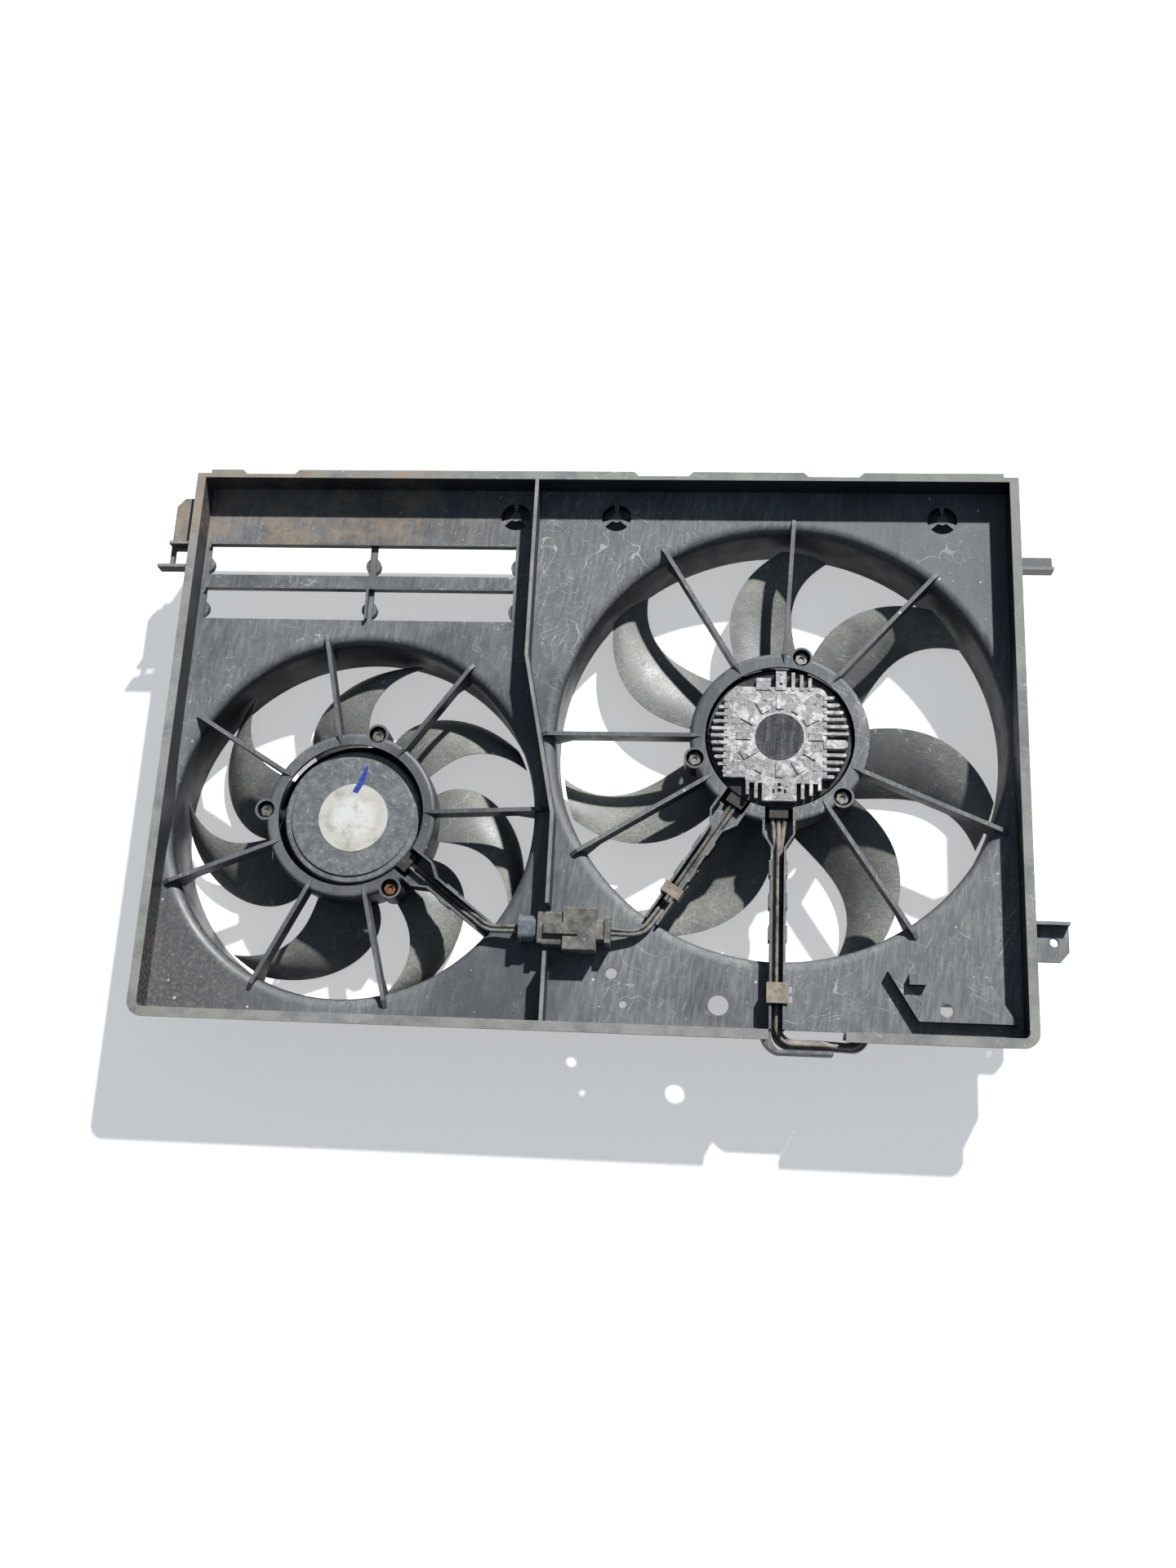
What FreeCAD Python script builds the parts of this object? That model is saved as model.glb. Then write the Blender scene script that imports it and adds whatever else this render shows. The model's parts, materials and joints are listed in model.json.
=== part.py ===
import FreeCAD, Part
import math
import os
import re
import Sketcher

# Twin radiator cooling fan module, lying on its back: the open radiator side faces +Z and the
# rear edges of the two bell mouths stand on z = 0. X runs along the module's width, +Y towards
# its top. Millimetres.

Vector = FreeCAD.Vector
doc = FreeCAD.newDocument("radiatorCoolingFan")
sizes = doc.addObject("Spreadsheet::Sheet", "sizes")

drivingSizes = (
    # shallow box of the shroud
    ("rimWidth", 700.0, "rim flange, left to right"),
    ("rimHeight", 475.0, "rim flange, bottom to top"),
    ("rimCentreY", 4.0, "middle of the rim"),
    ("rimTop", 76.0, "front edge of the rim"),
    ("rimFlange", 5.0, "flange reach beyond the wall"),
    ("cornerRound", 12.0, "corners of the flange"),
    ("cornerStepX", 12.0, "step at the upper corners"),
    ("cornerStepY", 3.5, "height of that step"),
    ("wall", 2.6, "thickness of walls and plate"),
    ("plateTop", 54.0, "front face of the plate"),
    ("wallFoot", 45.8, "rear edge of the outer walls"),
    # bell mouths
    ("lipRadius", 9.0, "rounding from plate to throat"),
    ("bellDraft", 0.8, "throat grows to the rear"),
    ("beadReach", 1.6, "bead round the rear edge"),
    ("beadHeight", 3.0, "height of that bead"),
    ("bigX", 156.0, "axis of the big fan"),
    ("bigY", 13.5, "axis of the big fan"),
    ("bigThroat", 183.0, "throat radius"),
    ("smallX", -191.5, "axis of the small fan"),
    ("smallY", -61.0, "axis of the small fan"),
    ("smallThroat", 150.0, "throat radius"),
    # carrier rings and struts
    ("bigRingInner", 60.5, "opening in the carrier ring"),
    ("bigRingOuter", 73.0, "outside of the carrier ring"),
    ("smallRingInner", 60.0, "opening in the carrier ring"),
    ("smallRingOuter", 70.5, "outside of the carrier ring"),
    ("ringRound", 4.0, "rounding of the rings' outer edge"),
    ("ringTop", 56.0, "front face of the rings"),
    ("ringFoot", 34.0, "rear edge of the ring skirts"),
    ("strutTop", 58.0, "front edge of the struts"),
    ("strutThick", 3.4, "thickness of a strut"),
    ("strutPoint", 10.0, "pointed inner end of a strut on its ring"),
    ("strutDepth", 14.0, "depth of a strut"),
    ("gussetDepth", 24.0, "depth at the throat"),
    ("gussetRun", 14.0, "length of that gusset"),
    ("footRun", 3.0, "strut end on the plate"),
    ("bigStrutA", 121.0, "direction of a strut"),
    ("bigStrutB", 87.0, "direction of a strut"),
    ("bigStrutC", 48.5, "direction of a strut"),
    ("bigStrutD", -23.0, "direction of a strut"),
    ("bigStrutE", -56.5, "direction of a strut"),
    ("bigStrutF", 212.0, "direction of a strut"),
    ("bigStrutG", 180.5, "direction of a strut"),
    ("smallStrutA", 102.5, "direction of a strut"),
    ("smallStrutB", 55.0, "direction of a strut"),
    ("smallStrutC", 149.0, "direction of a strut"),
    ("smallStrutD", 202.5, "direction of a strut"),
    ("smallStrutE", 244.5, "direction of a strut"),
    ("smallStrutF", 285.0, "direction of a strut"),
    ("smallStrutG", 3.0, "direction of a strut"),
    # cable troughs
    ("supplyTrough", 270.0, "trough of the supply lead"),
    ("linkTrough", 237.5, "trough of the lead between motors"),
    ("smallTrough", -37.5, "trough of the small motor's lead"),
    ("troughWidth", 12.4, "outside width"),
    ("troughWall", 1.9, "side walls and floor"),
    ("mouthWidth", 26.0, "trough mouth at its ring, outside"),
    ("mouthRun", 9.0, "straight part of the mouth"),
    ("mouthTaper", 11.0, "narrowing part of the mouth"),
    ("tabReach", 31.0, "first latch tab, from the ring"),
    ("tabLength", 12.0, "latch tabs along a trough"),
    ("tabPitch", 26.0, "latch tabs along a trough"),
    ("tabThick", 1.1, "latch tabs"),
    ("recessWidth", 13.0, "recess in the plate beside the supply trough"),
    ("slotWidth", 2.6, "slots beside the supply clip"),
    ("slotLength", 5.4, "slots beside the supply clip"),
    ("troughFoot", 43.0, "rear face of the trough floor"),
    # ears and screws
    ("bigEarA", 76.0, "screw ear"),
    ("bigEarB", 196.0, "screw ear"),
    ("bigEarC", 315.5, "screw ear"),
    ("smallEarA", 76.5, "screw ear"),
    ("smallEarB", 178.0, "screw ear"),
    ("smallEarC", 302.0, "screw ear"),
    ("earReach", 71.0, "screw axis from the motor axis"),
    ("earRadius", 9.0, "outside of an ear"),
    ("earPocket", 7.2, "recess round the screw head"),
    ("earFloor", 48.0, "floor of that recess"),
    ("screwRadius", 2.6, "screw shank"),
    ("screwHead", 5.2, "screw head"),
    ("screwHeadHeight", 3.6, "screw head"),
    ("screwWasher", 6.6, "washer under the head"),
    ("screwTip", 30.6, "rear end of a screw"),
    ("screwGap", 0.3, "clearance round a shank"),
    # centre rib
    ("ribThick", 3.0, "rib between the two fans"),
    ("ribUpperX", -54.0, "left face, upper run"),
    ("ribLowerX", -25.5, "left face, lower run"),
    ("ribUpperBend", 74.0, "upper bend"),
    ("ribLowerBend", -61.0, "lower bend"),
    # bypass windows
    ("windowLeft", -337.0, "left edge of the left windows"),
    ("windowMiddle", -193.0, "middle of the upright bar"),
    ("windowRight", -70.0, "right edge of the right windows"),
    ("windowBar", 6.0, "width of the upright bar"),
    ("windowTop", 179.0, "upper row, top"),
    ("windowRowHeight", 27.0, "height of a window"),
    ("windowRowGap", 14.0, "bar between the rows"),
    ("ledgeHeight", 4.0, "ledges above the plate"),
    ("ledgeThick", 2.2, "ledges"),
    ("hingeRadius", 7.5, "half round hinge lugs of the missing flaps"),
    ("hingeLift", 10.0, "hinge lugs above the lower edge"),
    ("hingeThick", 4.0, "hinge lugs"),
    # plug holes, notches and small holes
    ("plugRadius", 12.5, "spoked hole"),
    ("plugBoss", 4.2, "its boss"),
    ("plugSpoke", 22.0, "degrees taken by a spoke"),
    ("plugY", 209.0, "row of spoked holes"),
    ("cupDepth", 10.0, "closed cup behind a spoked hole"),
    ("plugLeftX", -72.0, "first spoked hole"),
    ("plugMiddleX", 15.0, "second spoked hole"),
    ("plugRightX", 290.0, "third spoked hole"),
    ("notchDepth", 4.0, "clip notches in the upper rim"),
    ("notchWidth", 50.0, "clip notches"),
    ("notchLeftX", -285.0, "middle of a notch"),
    ("notchMiddleX", 55.0, "middle of a notch"),
    ("notchRightX", 198.0, "middle of a notch"),
    ("drainRadius", 4.5, "drain hole"),
    ("drainX", 27.0, "drain hole"),
    ("drainY", -184.0, "drain hole"),
    ("locatorRadius", 3.0, "locating hole"),
    ("locatorX", 37.0, "locating hole"),
    ("locatorY", -208.0, "locating hole"),
    ("portRadius", 8.0, "round hole beside the supply clip"),
    ("portX", 111.0, "round hole"),
    ("portY", -206.0, "round hole"),
    # raised corner field over the supply connector
    ("fieldHeight", 7.0, "raised field in the lower right corner"),
    ("fieldLeft", 240.0, "its left corner"),
    ("fieldLeftY", -176.0, "its left corner"),
    ("fieldLow", -214.0, "its lower edge"),
    ("fieldLowX", 263.0, "its lower left corner"),
    ("fieldPeakX", 293.0, "its upper corner"),
    ("fieldPeakY", -146.0, "its upper corner"),
    ("fieldRight", 337.0, "its right corner"),
    ("fieldHoleX", 284.0, "hole in the field"),
    ("fieldHoleY", -205.0, "hole in the field"),
    ("fieldHoleRadius", 5.0, "hole in the field"),
    ("postX", 262.0, "connector post"),
    ("postY", -183.0, "connector post"),
    ("postWidth", 13.0, "connector post"),
    ("postHeight", 6.0, "connector post"),
    # cable guide under the lower rim
    ("guideLeft", 149.0, "gap in the lower wall"),
    ("guideRight", 207.0, "gap in the lower wall"),
    ("guideReach", 8.0, "curved lip below the rim"),
    ("guideTop", 60.0, "front edge of the lip"),
    ("guideFoot", 40.0, "rear edge of the lip"),
    # fixing lugs
    ("lugReach", 26.0, "lugs beyond the rim"),
    ("lugFoot", 62.0, "rear face of the lugs"),
    ("lugThick", 4.0, "thickness of a lug"),
    ("lugHole", 3.3, "hole of the lower right lug"),
    ("lugHoleX", 365.0, "hole of the lower right lug"),
    ("lugHoleY", -151.0, "hole of the lower right lug"),
    ("lowerLugTop", -136.0, "lower right lug"),
    ("lowerLugHeight", 30.0, "lower right lug"),
    ("hookLow", 156.0, "upper right hook"),
    ("hookHeight", 14.0, "upper right hook"),
    ("leftLugLow", 150.0, "left lug"),
    ("leftLugHigh", 218.0, "left lug"),
    ("leftSlotLow", 156.0, "slot of the left lug"),
    ("leftSlotHeight", 13.0, "slot of the left lug"),
    ("leftSlotWidth", 12.0, "slot of the left lug"),
    # fan hubs
    ("bigHub", 70.0, "outside of the hub"),
    ("smallHub", 67.0, "outside of the hub"),
    ("hubWall", 2.6, "hub wall"),
    ("hubFloor", 4.0, "rear face of the hub"),
    ("hubTop", 28.0, "front edge of the hub"),
    ("hubRound", 6.0, "rounding of the hub's rear edge"),
    ("bossRadius", 14.0, "boss round the shaft"),
    ("bossTop", 12.4, "front face of the boss"),
    ("nutPocket", 11.5, "recess for the shaft nut"),
    ("hubRibCount", 7, "ribs inside a hub"),
    ("hubRibThick", 2.0, "ribs inside a hub"),
    ("hubRibHeight", 3.2, "ribs inside a hub"),
    ("insertRadius", 8.0, "metal insert in the hub"),
    # blades
    ("bigTip", 180.0, "blade tip radius"),
    ("smallTip", 147.5, "blade tip radius"),
    ("bigChord", 54.9, "tangential chord at the hub"),
    ("bigChordRise", 9.0, "chord, linear part"),
    ("bigChordBend", -24.0, "chord, square part"),
    ("bigSweepRise", 22.9, "sweep in degrees, linear part"),
    ("bigSweepBend", -34.1, "sweep in degrees, square part"),
    ("bigPitchRoot", 23.0, "axial rise of the chord at the hub"),
    ("bigPitchTip", 13.0, "axial rise of the chord at the tip"),
    ("smallChord", 46.2, "tangential chord at the hub"),
    ("smallChordRise", 55.0, "chord, linear part"),
    ("smallChordBend", -76.0, "chord, square part"),
    ("smallSweepRise", 8.6, "sweep in degrees, linear part"),
    ("smallSweepBend", -39.6, "sweep in degrees, square part"),
    ("smallPitchRoot", 21.0, "axial rise of the chord at the hub"),
    ("smallPitchTip", 17.0, "axial rise of the chord at the tip"),
    ("bigLeading", 1, "side of the leading edge, +1 anticlockwise"),
    ("smallLeading", -1, "side of the leading edge, +1 anticlockwise"),
    ("bladeMiddle", 16.5, "height of the blades' middle"),
    ("bladeThick", 3.0, "blade thickness at mid chord"),
    ("bladeEdge", 1.3, "blade thickness at its edges"),
    ("bladeCamber", 0.07, "rise of the blade's arc, share of chord"),
    ("bigBladeA", 94.3, "direction of a blade root"),
    ("bigBladeB", 146.6, "direction of a blade root"),
    ("bigBladeC", 206.0, "direction of a blade root"),
    ("bigBladeD", 247.8, "direction of a blade root"),
    ("bigBladeE", 303.3, "direction of a blade root"),
    ("bigBladeF", 351.3, "direction of a blade root"),
    ("bigBladeG", 410.0, "direction of a blade root"),
    ("smallBladeA", 107.6, "direction of a blade root"),
    ("smallBladeB", 168.4, "direction of a blade root"),
    ("smallBladeC", 210.4, "direction of a blade root"),
    ("smallBladeD", 266.3, "direction of a blade root"),
    ("smallBladeE", 318.7, "direction of a blade root"),
    ("smallBladeF", 368.1, "direction of a blade root"),
    ("smallBladeG", 415.7, "direction of a blade root"),
    # motors
    ("bigCan", 57.0, "outside of the motor can"),
    ("smallCan", 55.0, "outside of the motor can"),
    ("canWall", 1.6, "sheet of the can"),
    ("canFoot", 14.0, "rear face of the can"),
    ("canTop", 44.0, "front edge of the can"),
    ("canRound", 5.0, "rounding of the can's rear edge"),
    ("shaftRadius", 4.0, "motor shaft"),
    ("shaftTop", 46.6, "front end of the shaft"),
    ("shaftFoot", 3.0, "rear end of the shaft"),
    ("runningGap", 0.03, "shaft in its bearings"),
    ("bearingRadius", 9.5, "outside of a bearing"),
    ("bearingHeight", 4.4, "bearing"),
    ("bracketTop", 34.0, "front face of the motor bracket"),
    ("bracketThick", 2.5, "motor bracket"),
    ("bracketRing", 9.5, "width of the bracket's ring"),
    ("bracketEar", 7.5, "bracket ear"),
    ("magnetThick", 8.0, "magnets"),
    ("magnetAngle", 74.0, "degrees covered by a magnet"),
    ("airGap", 0.9, "armature in its magnets"),
    ("coreFoot", 24.5, "rear face of the armature core"),
    ("coreTop", 33.0, "front face of the armature core"),
    ("coreSlots", 12, "slots of the core"),
    ("coreSlotWidth", 3.0, "slots of the core"),
    ("coreSlotDepth", 9.0, "slots of the core"),
    ("windingInner", 15.0, "end turns"),
    ("windingHeight", 3.0, "end turns"),
    ("commutatorRadius", 12.0, "commutator"),
    ("commutatorTop", 40.0, "front face of the commutator"),
    ("brushWidth", 6.0, "brushes"),
    ("brushHeight", 3.4, "brushes"),
    ("brushLength", 14.0, "brushes"),
    ("brushCount", 4, "brushes"),
    ("brushPlateFoot", 40.6, "brush plate"),
    ("brushPlateThick", 1.8, "brush plate"),
    ("nutRadius", 9.0, "shaft nut across its corners"),
    ("nutHeight", 3.4, "shaft nut"),
    # small motor cover
    ("coverTop", 50.0, "front face of the small motor's cover"),
    ("coverThick", 1.8, "sheet of the cover"),
    ("coverStep", 5.0, "ring step round its edge"),
    # controller of the big motor
    ("controllerTop", 50.0, "front edge of the controller housing"),
    ("controllerRadius", 58.4, "outside of the controller housing"),
    ("lidThick", 1.4, "lid of the controller housing"),
    ("sealThick", 0.8, "seal under the heat sink"),
    ("sinkWindow", 56.0, "opening under the heat sink"),
    ("boardThick", 1.6, "circuit board"),
    ("chipReach", 22.5, "transistors from the motor axis"),
    ("chipLength", 9.0, "transistors, outward"),
    ("chipWidth", 10.0, "transistors, across"),
    ("sinkPlate", 4.6, "base plate of the heat sink"),
    ("sinkLeft", -45.2, "plate, from the motor axis"),
    ("sinkRight", 37.8, "plate, from the motor axis"),
    ("sinkLow", -39.6, "plate, from the motor axis"),
    ("sinkHigh", 42.4, "plate, from the motor axis"),
    ("sinkRound", 8.0, "upper right corner of the plate"),
    ("sinkCut", 9.0, "upper left corner of the plate"),
    ("sinkNotch", 18.0, "lower left notch, across"),
    ("sinkStep", 4.4, "height of the lower notches"),
    ("sinkReach", 56.4, "circle that trims the fins"),
    ("finThick", 2.7, "fins"),
    ("finPitch", 6.1, "fins"),
    ("finHeight", 5.2, "fins"),
    ("finsLeft", 11, "fins on the left"),
    ("finsRight", 12, "fins on the right"),
    ("endFinPitch", 6.8, "fins beside the upper and lower tabs"),
    ("sinkTab", 8.5, "width of the upper tab"),
    ("sinkTabX", 0.6, "middle of the upper tab"),
    ("sinkFoot", 27.6, "width of the lower tab"),
    ("shoulderLeft", -19.6, "shoulder beside the upper tab"),
    ("shoulderRight", -7.8, "shoulder beside the upper tab"),
    ("shoulderHigh", 50.0, "shoulder beside the upper tab"),
    ("sinkDisc", 19.6, "round pad in the middle"),
    ("sinkDiscHeight", 0.8, "round pad in the middle"),
    ("ridgeCount", 12, "low teeth round the pad"),
    ("ridgeInner", 23.4, "teeth"),
    ("ridgeLength", 11.5, "teeth"),
    ("ridgeThick", 6.4, "teeth"),
    ("sinkHole", 1.6, "holes of the lower tab"),
    ("sinkHoleY", -41.2, "holes of the lower tab"),
    ("sinkHoleStep", 4.6, "holes of the lower tab"),
    # link connector between the fans
    ("linkY", -153.0, "axis of the connector"),
    ("linkZ", 63.0, "axis of the connector"),
    ("sealFoot", -46.0, "rubber seal, left end"),
    ("sealLip", 2.2, "lip of the seal"),
    ("sealNeck", 3.6, "slim neck of the seal"),
    ("sealRadius", 11.0, "rubber seal"),
    ("plugFoot", -31.0, "plug, left end"),
    ("plugFlange", 4.0, "flange of the plug"),
    ("plugFlangeRadius", 13.0, "flange of the plug"),
    ("plugDepth", 27.0, "plug body across"),
    ("socketFoot", -11.0, "socket, left end"),
    ("socketLength", 26.0, "socket"),
    ("socketDepth", 35.0, "socket across"),
    ("socketHeight", 18.0, "socket"),
    ("collarLength", 11.0, "collar, right end of the socket"),
    ("collarDepth", 23.0, "collar across"),
    ("linkRound", 2.0, "rounded edges of the connectors"),
    ("tongueLength", 11.5, "plug in its socket"),
    ("ribGate", 38.0, "gate in the centre rib"),
    # leads
    ("supplyRadius", 1.95, "single wires of the supply lead"),
    ("supplySpread", 2.05, "half spacing of the lower pair"),
    ("supplyFan", 4.6, "spacing where the wires leave the motor"),
    ("wireRadius", 1.7, "single wires"),
    ("wireSpread", 1.9, "half spacing of a pair of wires"),
    ("leadGap", 0.3, "clearance under a lead"),
    ("clipWidth", 16.6, "clips over the troughs"),
    ("clipWall", 1.8, "clips over the troughs"),
    ("linkClipReach", 155.0, "clip on the link trough"),
    ("linkClipLength", 9.0, "clip on the link trough"),
    ("supplyClipReach", 209.0, "clip on the supply trough"),
    ("supplyClipLength", 16.0, "clip on the supply trough"),
    ("grommetWidth", 15.0, "rubber grommet at a ring gate"),
    ("grommetHeight", 7.0, "rubber grommet"),
    ("grommetLength", 7.0, "rubber grommet"),
    ("linkReach", 197.3, "where the link lead meets its trough"),
    ("smallExit", 151.1, "where the small lead leaves its trough"),
    ("supplyGrommetLow", 45.2, "rear face of a grommet"),
    ("wireGrommetLow", 43.4, "rear face of a grommet"),
    # supply connector behind the raised field
    ("supplyPlugX", 260.0, "supply connector, left end"),
    ("supplyPlugY", -190.0, "supply connector, axis"),
    ("supplyEntry", 46.5, "height where the lead enters"),
    ("supplyPlugLength", 34.0, "supply connector"),
    ("supplyPlugDepth", 20.0, "supply connector"),
    ("supplyPlugHeight", 16.0, "supply connector"),
)

for row, (alias, size, note) in enumerate(drivingSizes, start=1):
    sizes.set("A%d" % row, note)
    sizes.set("B%d" % row, str(size))
    sizes.setAlias("B%d" % row, alias)
doc.recompute()

aliasNames = sorted((entry[0] for entry in drivingSizes), key=len, reverse=True)
aliasPattern = re.compile(r"\b(" + "|".join(aliasNames) + r")\b")


# Expressions are written with the bare names of the sheet.
def bound(text):
    return aliasPattern.sub(lambda found: "sizes." + found.group(0), str(text))


def value(text):
    return float(sizes.evalExpression(bound(text)))


# Sketches

def originPlane(body, plane):
    return [feature for feature in body.Origin.OriginFeatures if feature.Role == plane + "_Plane"][0]


# A flat sketch lies at height z. An upright one (plane XZ) passes through the point, its own x axis
# points outward in the turned direction and its y axis is up.
def sketchOn(body, name, plane="XY", at=("0", "0", "0"), turn="0"):
    sketch = body.newObject("Sketcher::SketchObject", name)
    sketch.AttachmentSupport = [(originPlane(body, plane), "")]
    sketch.MapMode = "FlatFace"
    placeX, placeY, placeZ = at
    if plane == "XZ":
        localPlace = (placeX, placeZ, "-(%s)" % placeY)
        turnAxis = Vector(0, 1, 0)
    elif plane == "YZ":
        localPlace = (placeY, placeZ, placeX)
        turnAxis = Vector(0, 1, 0)
    else:
        localPlace = (placeX, placeY, placeZ)
        turnAxis = Vector(0, 0, 1)
    start = Vector(*[value(text) for text in localPlace])
    sketch.AttachmentOffset = FreeCAD.Placement(start, FreeCAD.Rotation(turnAxis, value(turn)))
    for letter, text in zip("xyz", localPlace):
        sketch.setExpression("AttachmentOffset.Base." + letter, bound(text))
    if turn != "0":
        sketch.setExpression("AttachmentOffset.Rotation.Angle", bound(turn))
    return sketch


def pinned(sketch, edge, spot, across, along):
    for kind, text in (("DistanceX", across), ("DistanceY", along)):
        index = sketch.addConstraint(Sketcher.Constraint(kind, -1, 1, edge, spot, value(text)))
        sketch.setExpression("Constraints[%d]" % index, bound(text))


def sized(sketch, edge, text):
    index = sketch.addConstraint(Sketcher.Constraint("Radius", edge, value(text)))
    sketch.setExpression("Constraints[%d]" % index, bound(text))


# A closed outline. Each corner is (x, y), reached by a line, or (x, y, radius, side), reached by an
# arc that turns left (side 1) or right (side -1).
def outline(sketch, corners):
    points = [Vector(value(corner[0]), value(corner[1]), 0) for corner in corners]
    first = sketch.GeometryCount
    spots = []
    for corner, here, before in zip(corners, points, points[-1:] + points[:-1]):
        if len(corner) == 2:
            sketch.addGeometry(Part.LineSegment(before, here))
            spots.append((1, 2))
            continue
        radius, side = value(corner[2]), corner[3]
        half = (here - before) * 0.5
        reach = math.sqrt(max(radius * radius - half.Length * half.Length, 0))
        centre = before + half + Vector(-half.y, half.x, 0).normalize() * (side * reach)
        angles = [math.atan2(point.y - centre.y, point.x - centre.x) for point in (before, here)]
        if side < 0:
            angles.reverse()
        circleShape = Part.Circle(centre, Vector(0, 0, 1), radius)
        sketch.addGeometry(Part.ArcOfCircle(circleShape, angles[0], angles[1]))
        spots.append((1, 2) if side > 0 else (2, 1))
    count = len(corners)
    for index in range(count):
        following = (index + 1) % count
        joint = ("Coincident", first + index, spots[index][1], first + following, spots[following][0])
        sketch.addConstraint(Sketcher.Constraint(*joint))
    for index, corner in enumerate(corners):
        pinned(sketch, first + index, spots[index][1], corner[0], corner[1])
        if len(corner) > 2:
            sized(sketch, first + index, corner[2])


def circle(sketch, across, along, radius):
    shape = Part.Circle(Vector(value(across), value(along), 0), Vector(0, 0, 1), value(radius))
    edge = sketch.addGeometry(shape)
    pinned(sketch, edge, 3, across, along)
    sized(sketch, edge, radius)


def rectangle(sketch, left, low, right, high):
    outline(sketch, ((left, low), (right, low), (right, high), (left, high)))


# A rectangle about a middle point.
def block(sketch, across, along, width, height):
    left, right = "%s - (%s) / 2" % (across, width), "%s + (%s) / 2" % (across, width)
    low, high = "%s - (%s) / 2" % (along, height), "%s + (%s) / 2" % (along, height)
    rectangle(sketch, left, low, right, high)


# An outline along a direction from a fan's axis; its corners are distances outward and sideways.
def radialOutline(sketch, fan, direction, corners):
    spots = []
    for reach, side in corners:
        across = "%sX + (%s) * cos(%s) - (%s) * sin(%s)" % (fan, reach, direction, side, direction)
        along = "%sY + (%s) * sin(%s) + (%s) * cos(%s)" % (fan, reach, direction, side, direction)
        spots.append((across, along))
    outline(sketch, spots)


# A piece of a ring between two directions.
def ringPiece(sketch, across, along, inner, outer, begin, finish):
    def spot(radius, angle):
        return "%s + (%s) * cos(%s)" % (across, radius, angle), "%s + (%s) * sin(%s)" % (along, radius, angle)
    outline(sketch, (
        spot(outer, begin),
        spot(outer, finish) + (outer, 1),
        spot(inner, finish),
        spot(inner, begin) + (inner, -1),
    ))


# Features

def feature(body, kind, sketch):
    made = body.newObject("PartDesign::" + kind, sketch.Name + kind)
    made.Profile = sketch
    return made


def pad(body, sketch, length, symmetric=False):
    made = feature(body, "Pad", sketch)
    made.setExpression("Length", bound(length))
    if symmetric:
        made.SideType = "Symmetric"
    return made


def pocket(body, sketch, depth, symmetric=False):
    made = feature(body, "Pocket", sketch)
    made.setExpression("Length", bound(depth))
    if symmetric:
        made.SideType = "Symmetric"
    return made


def revolve(body, sketch):
    made = feature(body, "Revolution", sketch)
    made.ReferenceAxis = (sketch, ["V_Axis"])
    made.Angle = 360
    return made


def polar(body, original, sketch, count):
    made = body.newObject("PartDesign::PolarPattern", original.Name + "Ring")
    made.Originals = [original]
    made.Axis = (sketch, ["N_Axis"])
    made.Angle = 360
    made.setExpression("Occurrences", bound(count))
    body.Tip = made
    return made


def newBody(name):
    body = doc.addObject("PartDesign::Body", name + "Body")
    return body


subParts = {}


def keep(node, thing):
    thing.Label = node
    subParts[node] = thing
    return thing


# The two fan units share their construction; "big" and "small" choose the sizes.
fanUnits = ("big", "small")
letters = "ABCDEFG"


def axisOf(fan):
    return fan + "X", fan + "Y"


# A turned piece about a fan's axis, from its outline in radius and height.
def turned(node, fan, corners):
    body = newBody(node)
    sketch = sketchOn(body, node + "Profile", "XZ", axisOf(fan) + ("0",))
    outline(sketch, corners)
    revolve(body, sketch)
    return keep(node, body)


# Copies of one piece, placed at a fan's axis with a turn each.
def placedCopy(name, original, at, turn="0"):
    copy = doc.addObject("App::Link", name)
    copy.LinkedObject = original
    for letter, text in zip("xyz", at):
        copy.setExpression("Placement.Base." + letter, bound(text))
    if turn != "0":
        copy.Placement = FreeCAD.Placement(Vector(0, 0, 0), FreeCAD.Rotation(Vector(0, 0, 1), 1))
        copy.setExpression("Placement.Rotation.Angle", bound(turn))
    return copy


def earSpot(fan, letter):
    angle = fan + "Ear" + letter
    return "%sX + earReach * cos(%s)" % (fan, angle), "%sY + earReach * sin(%s)" % (fan, angle)


# Shroud

# The walls follow a plain rectangle with rounded lower corners. Only the flange steps down beside its
# upper corners.
def rimOutline(inset, step=False):
    right = "rimWidth / 2 - (%s)" % inset
    left = "-(%s)" % right
    high = "rimCentreY + rimHeight / 2 - (%s)" % inset
    low = "rimCentreY - rimHeight / 2 + (%s)" % inset
    radius = "cornerRound - (%s)" % inset
    upper = ((right, high), (left, high))
    if step:
        upper = (
            (right, "%s - cornerStepY" % high),
            ("%s - cornerStepX" % right, "%s - cornerStepY" % high),
            ("%s - cornerStepX" % right, high),
            ("%s + cornerStepX" % left, high),
            ("%s + cornerStepX" % left, "%s - cornerStepY" % high),
            (left, "%s - cornerStepY" % high),
        )
    lower = (
        ("%s + (%s)" % (left, radius), low, radius, 1),
        ("%s - (%s)" % (right, radius), low),
        (right, "%s + (%s)" % (low, radius), radius, 1),
    )
    return lower + upper + ((left, "%s + (%s)" % (low, radius)),)


wallInner = "rimFlange + wall"


def shroudPlate(body):
    plate = sketchOn(body, "plate", at=("0", "0", "plateTop - wall"))
    outline(plate, rimOutline("rimFlange"))
    pad(body, plate, "wall")
    mouths = sketchOn(body, "mouths", at=("0", "0", "plateTop"))
    for fan in fanUnits:
        circle(mouths, fan + "X", fan + "Y", fan + "Throat + lipRadius")
    pocket(body, mouths, "wall")


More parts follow.
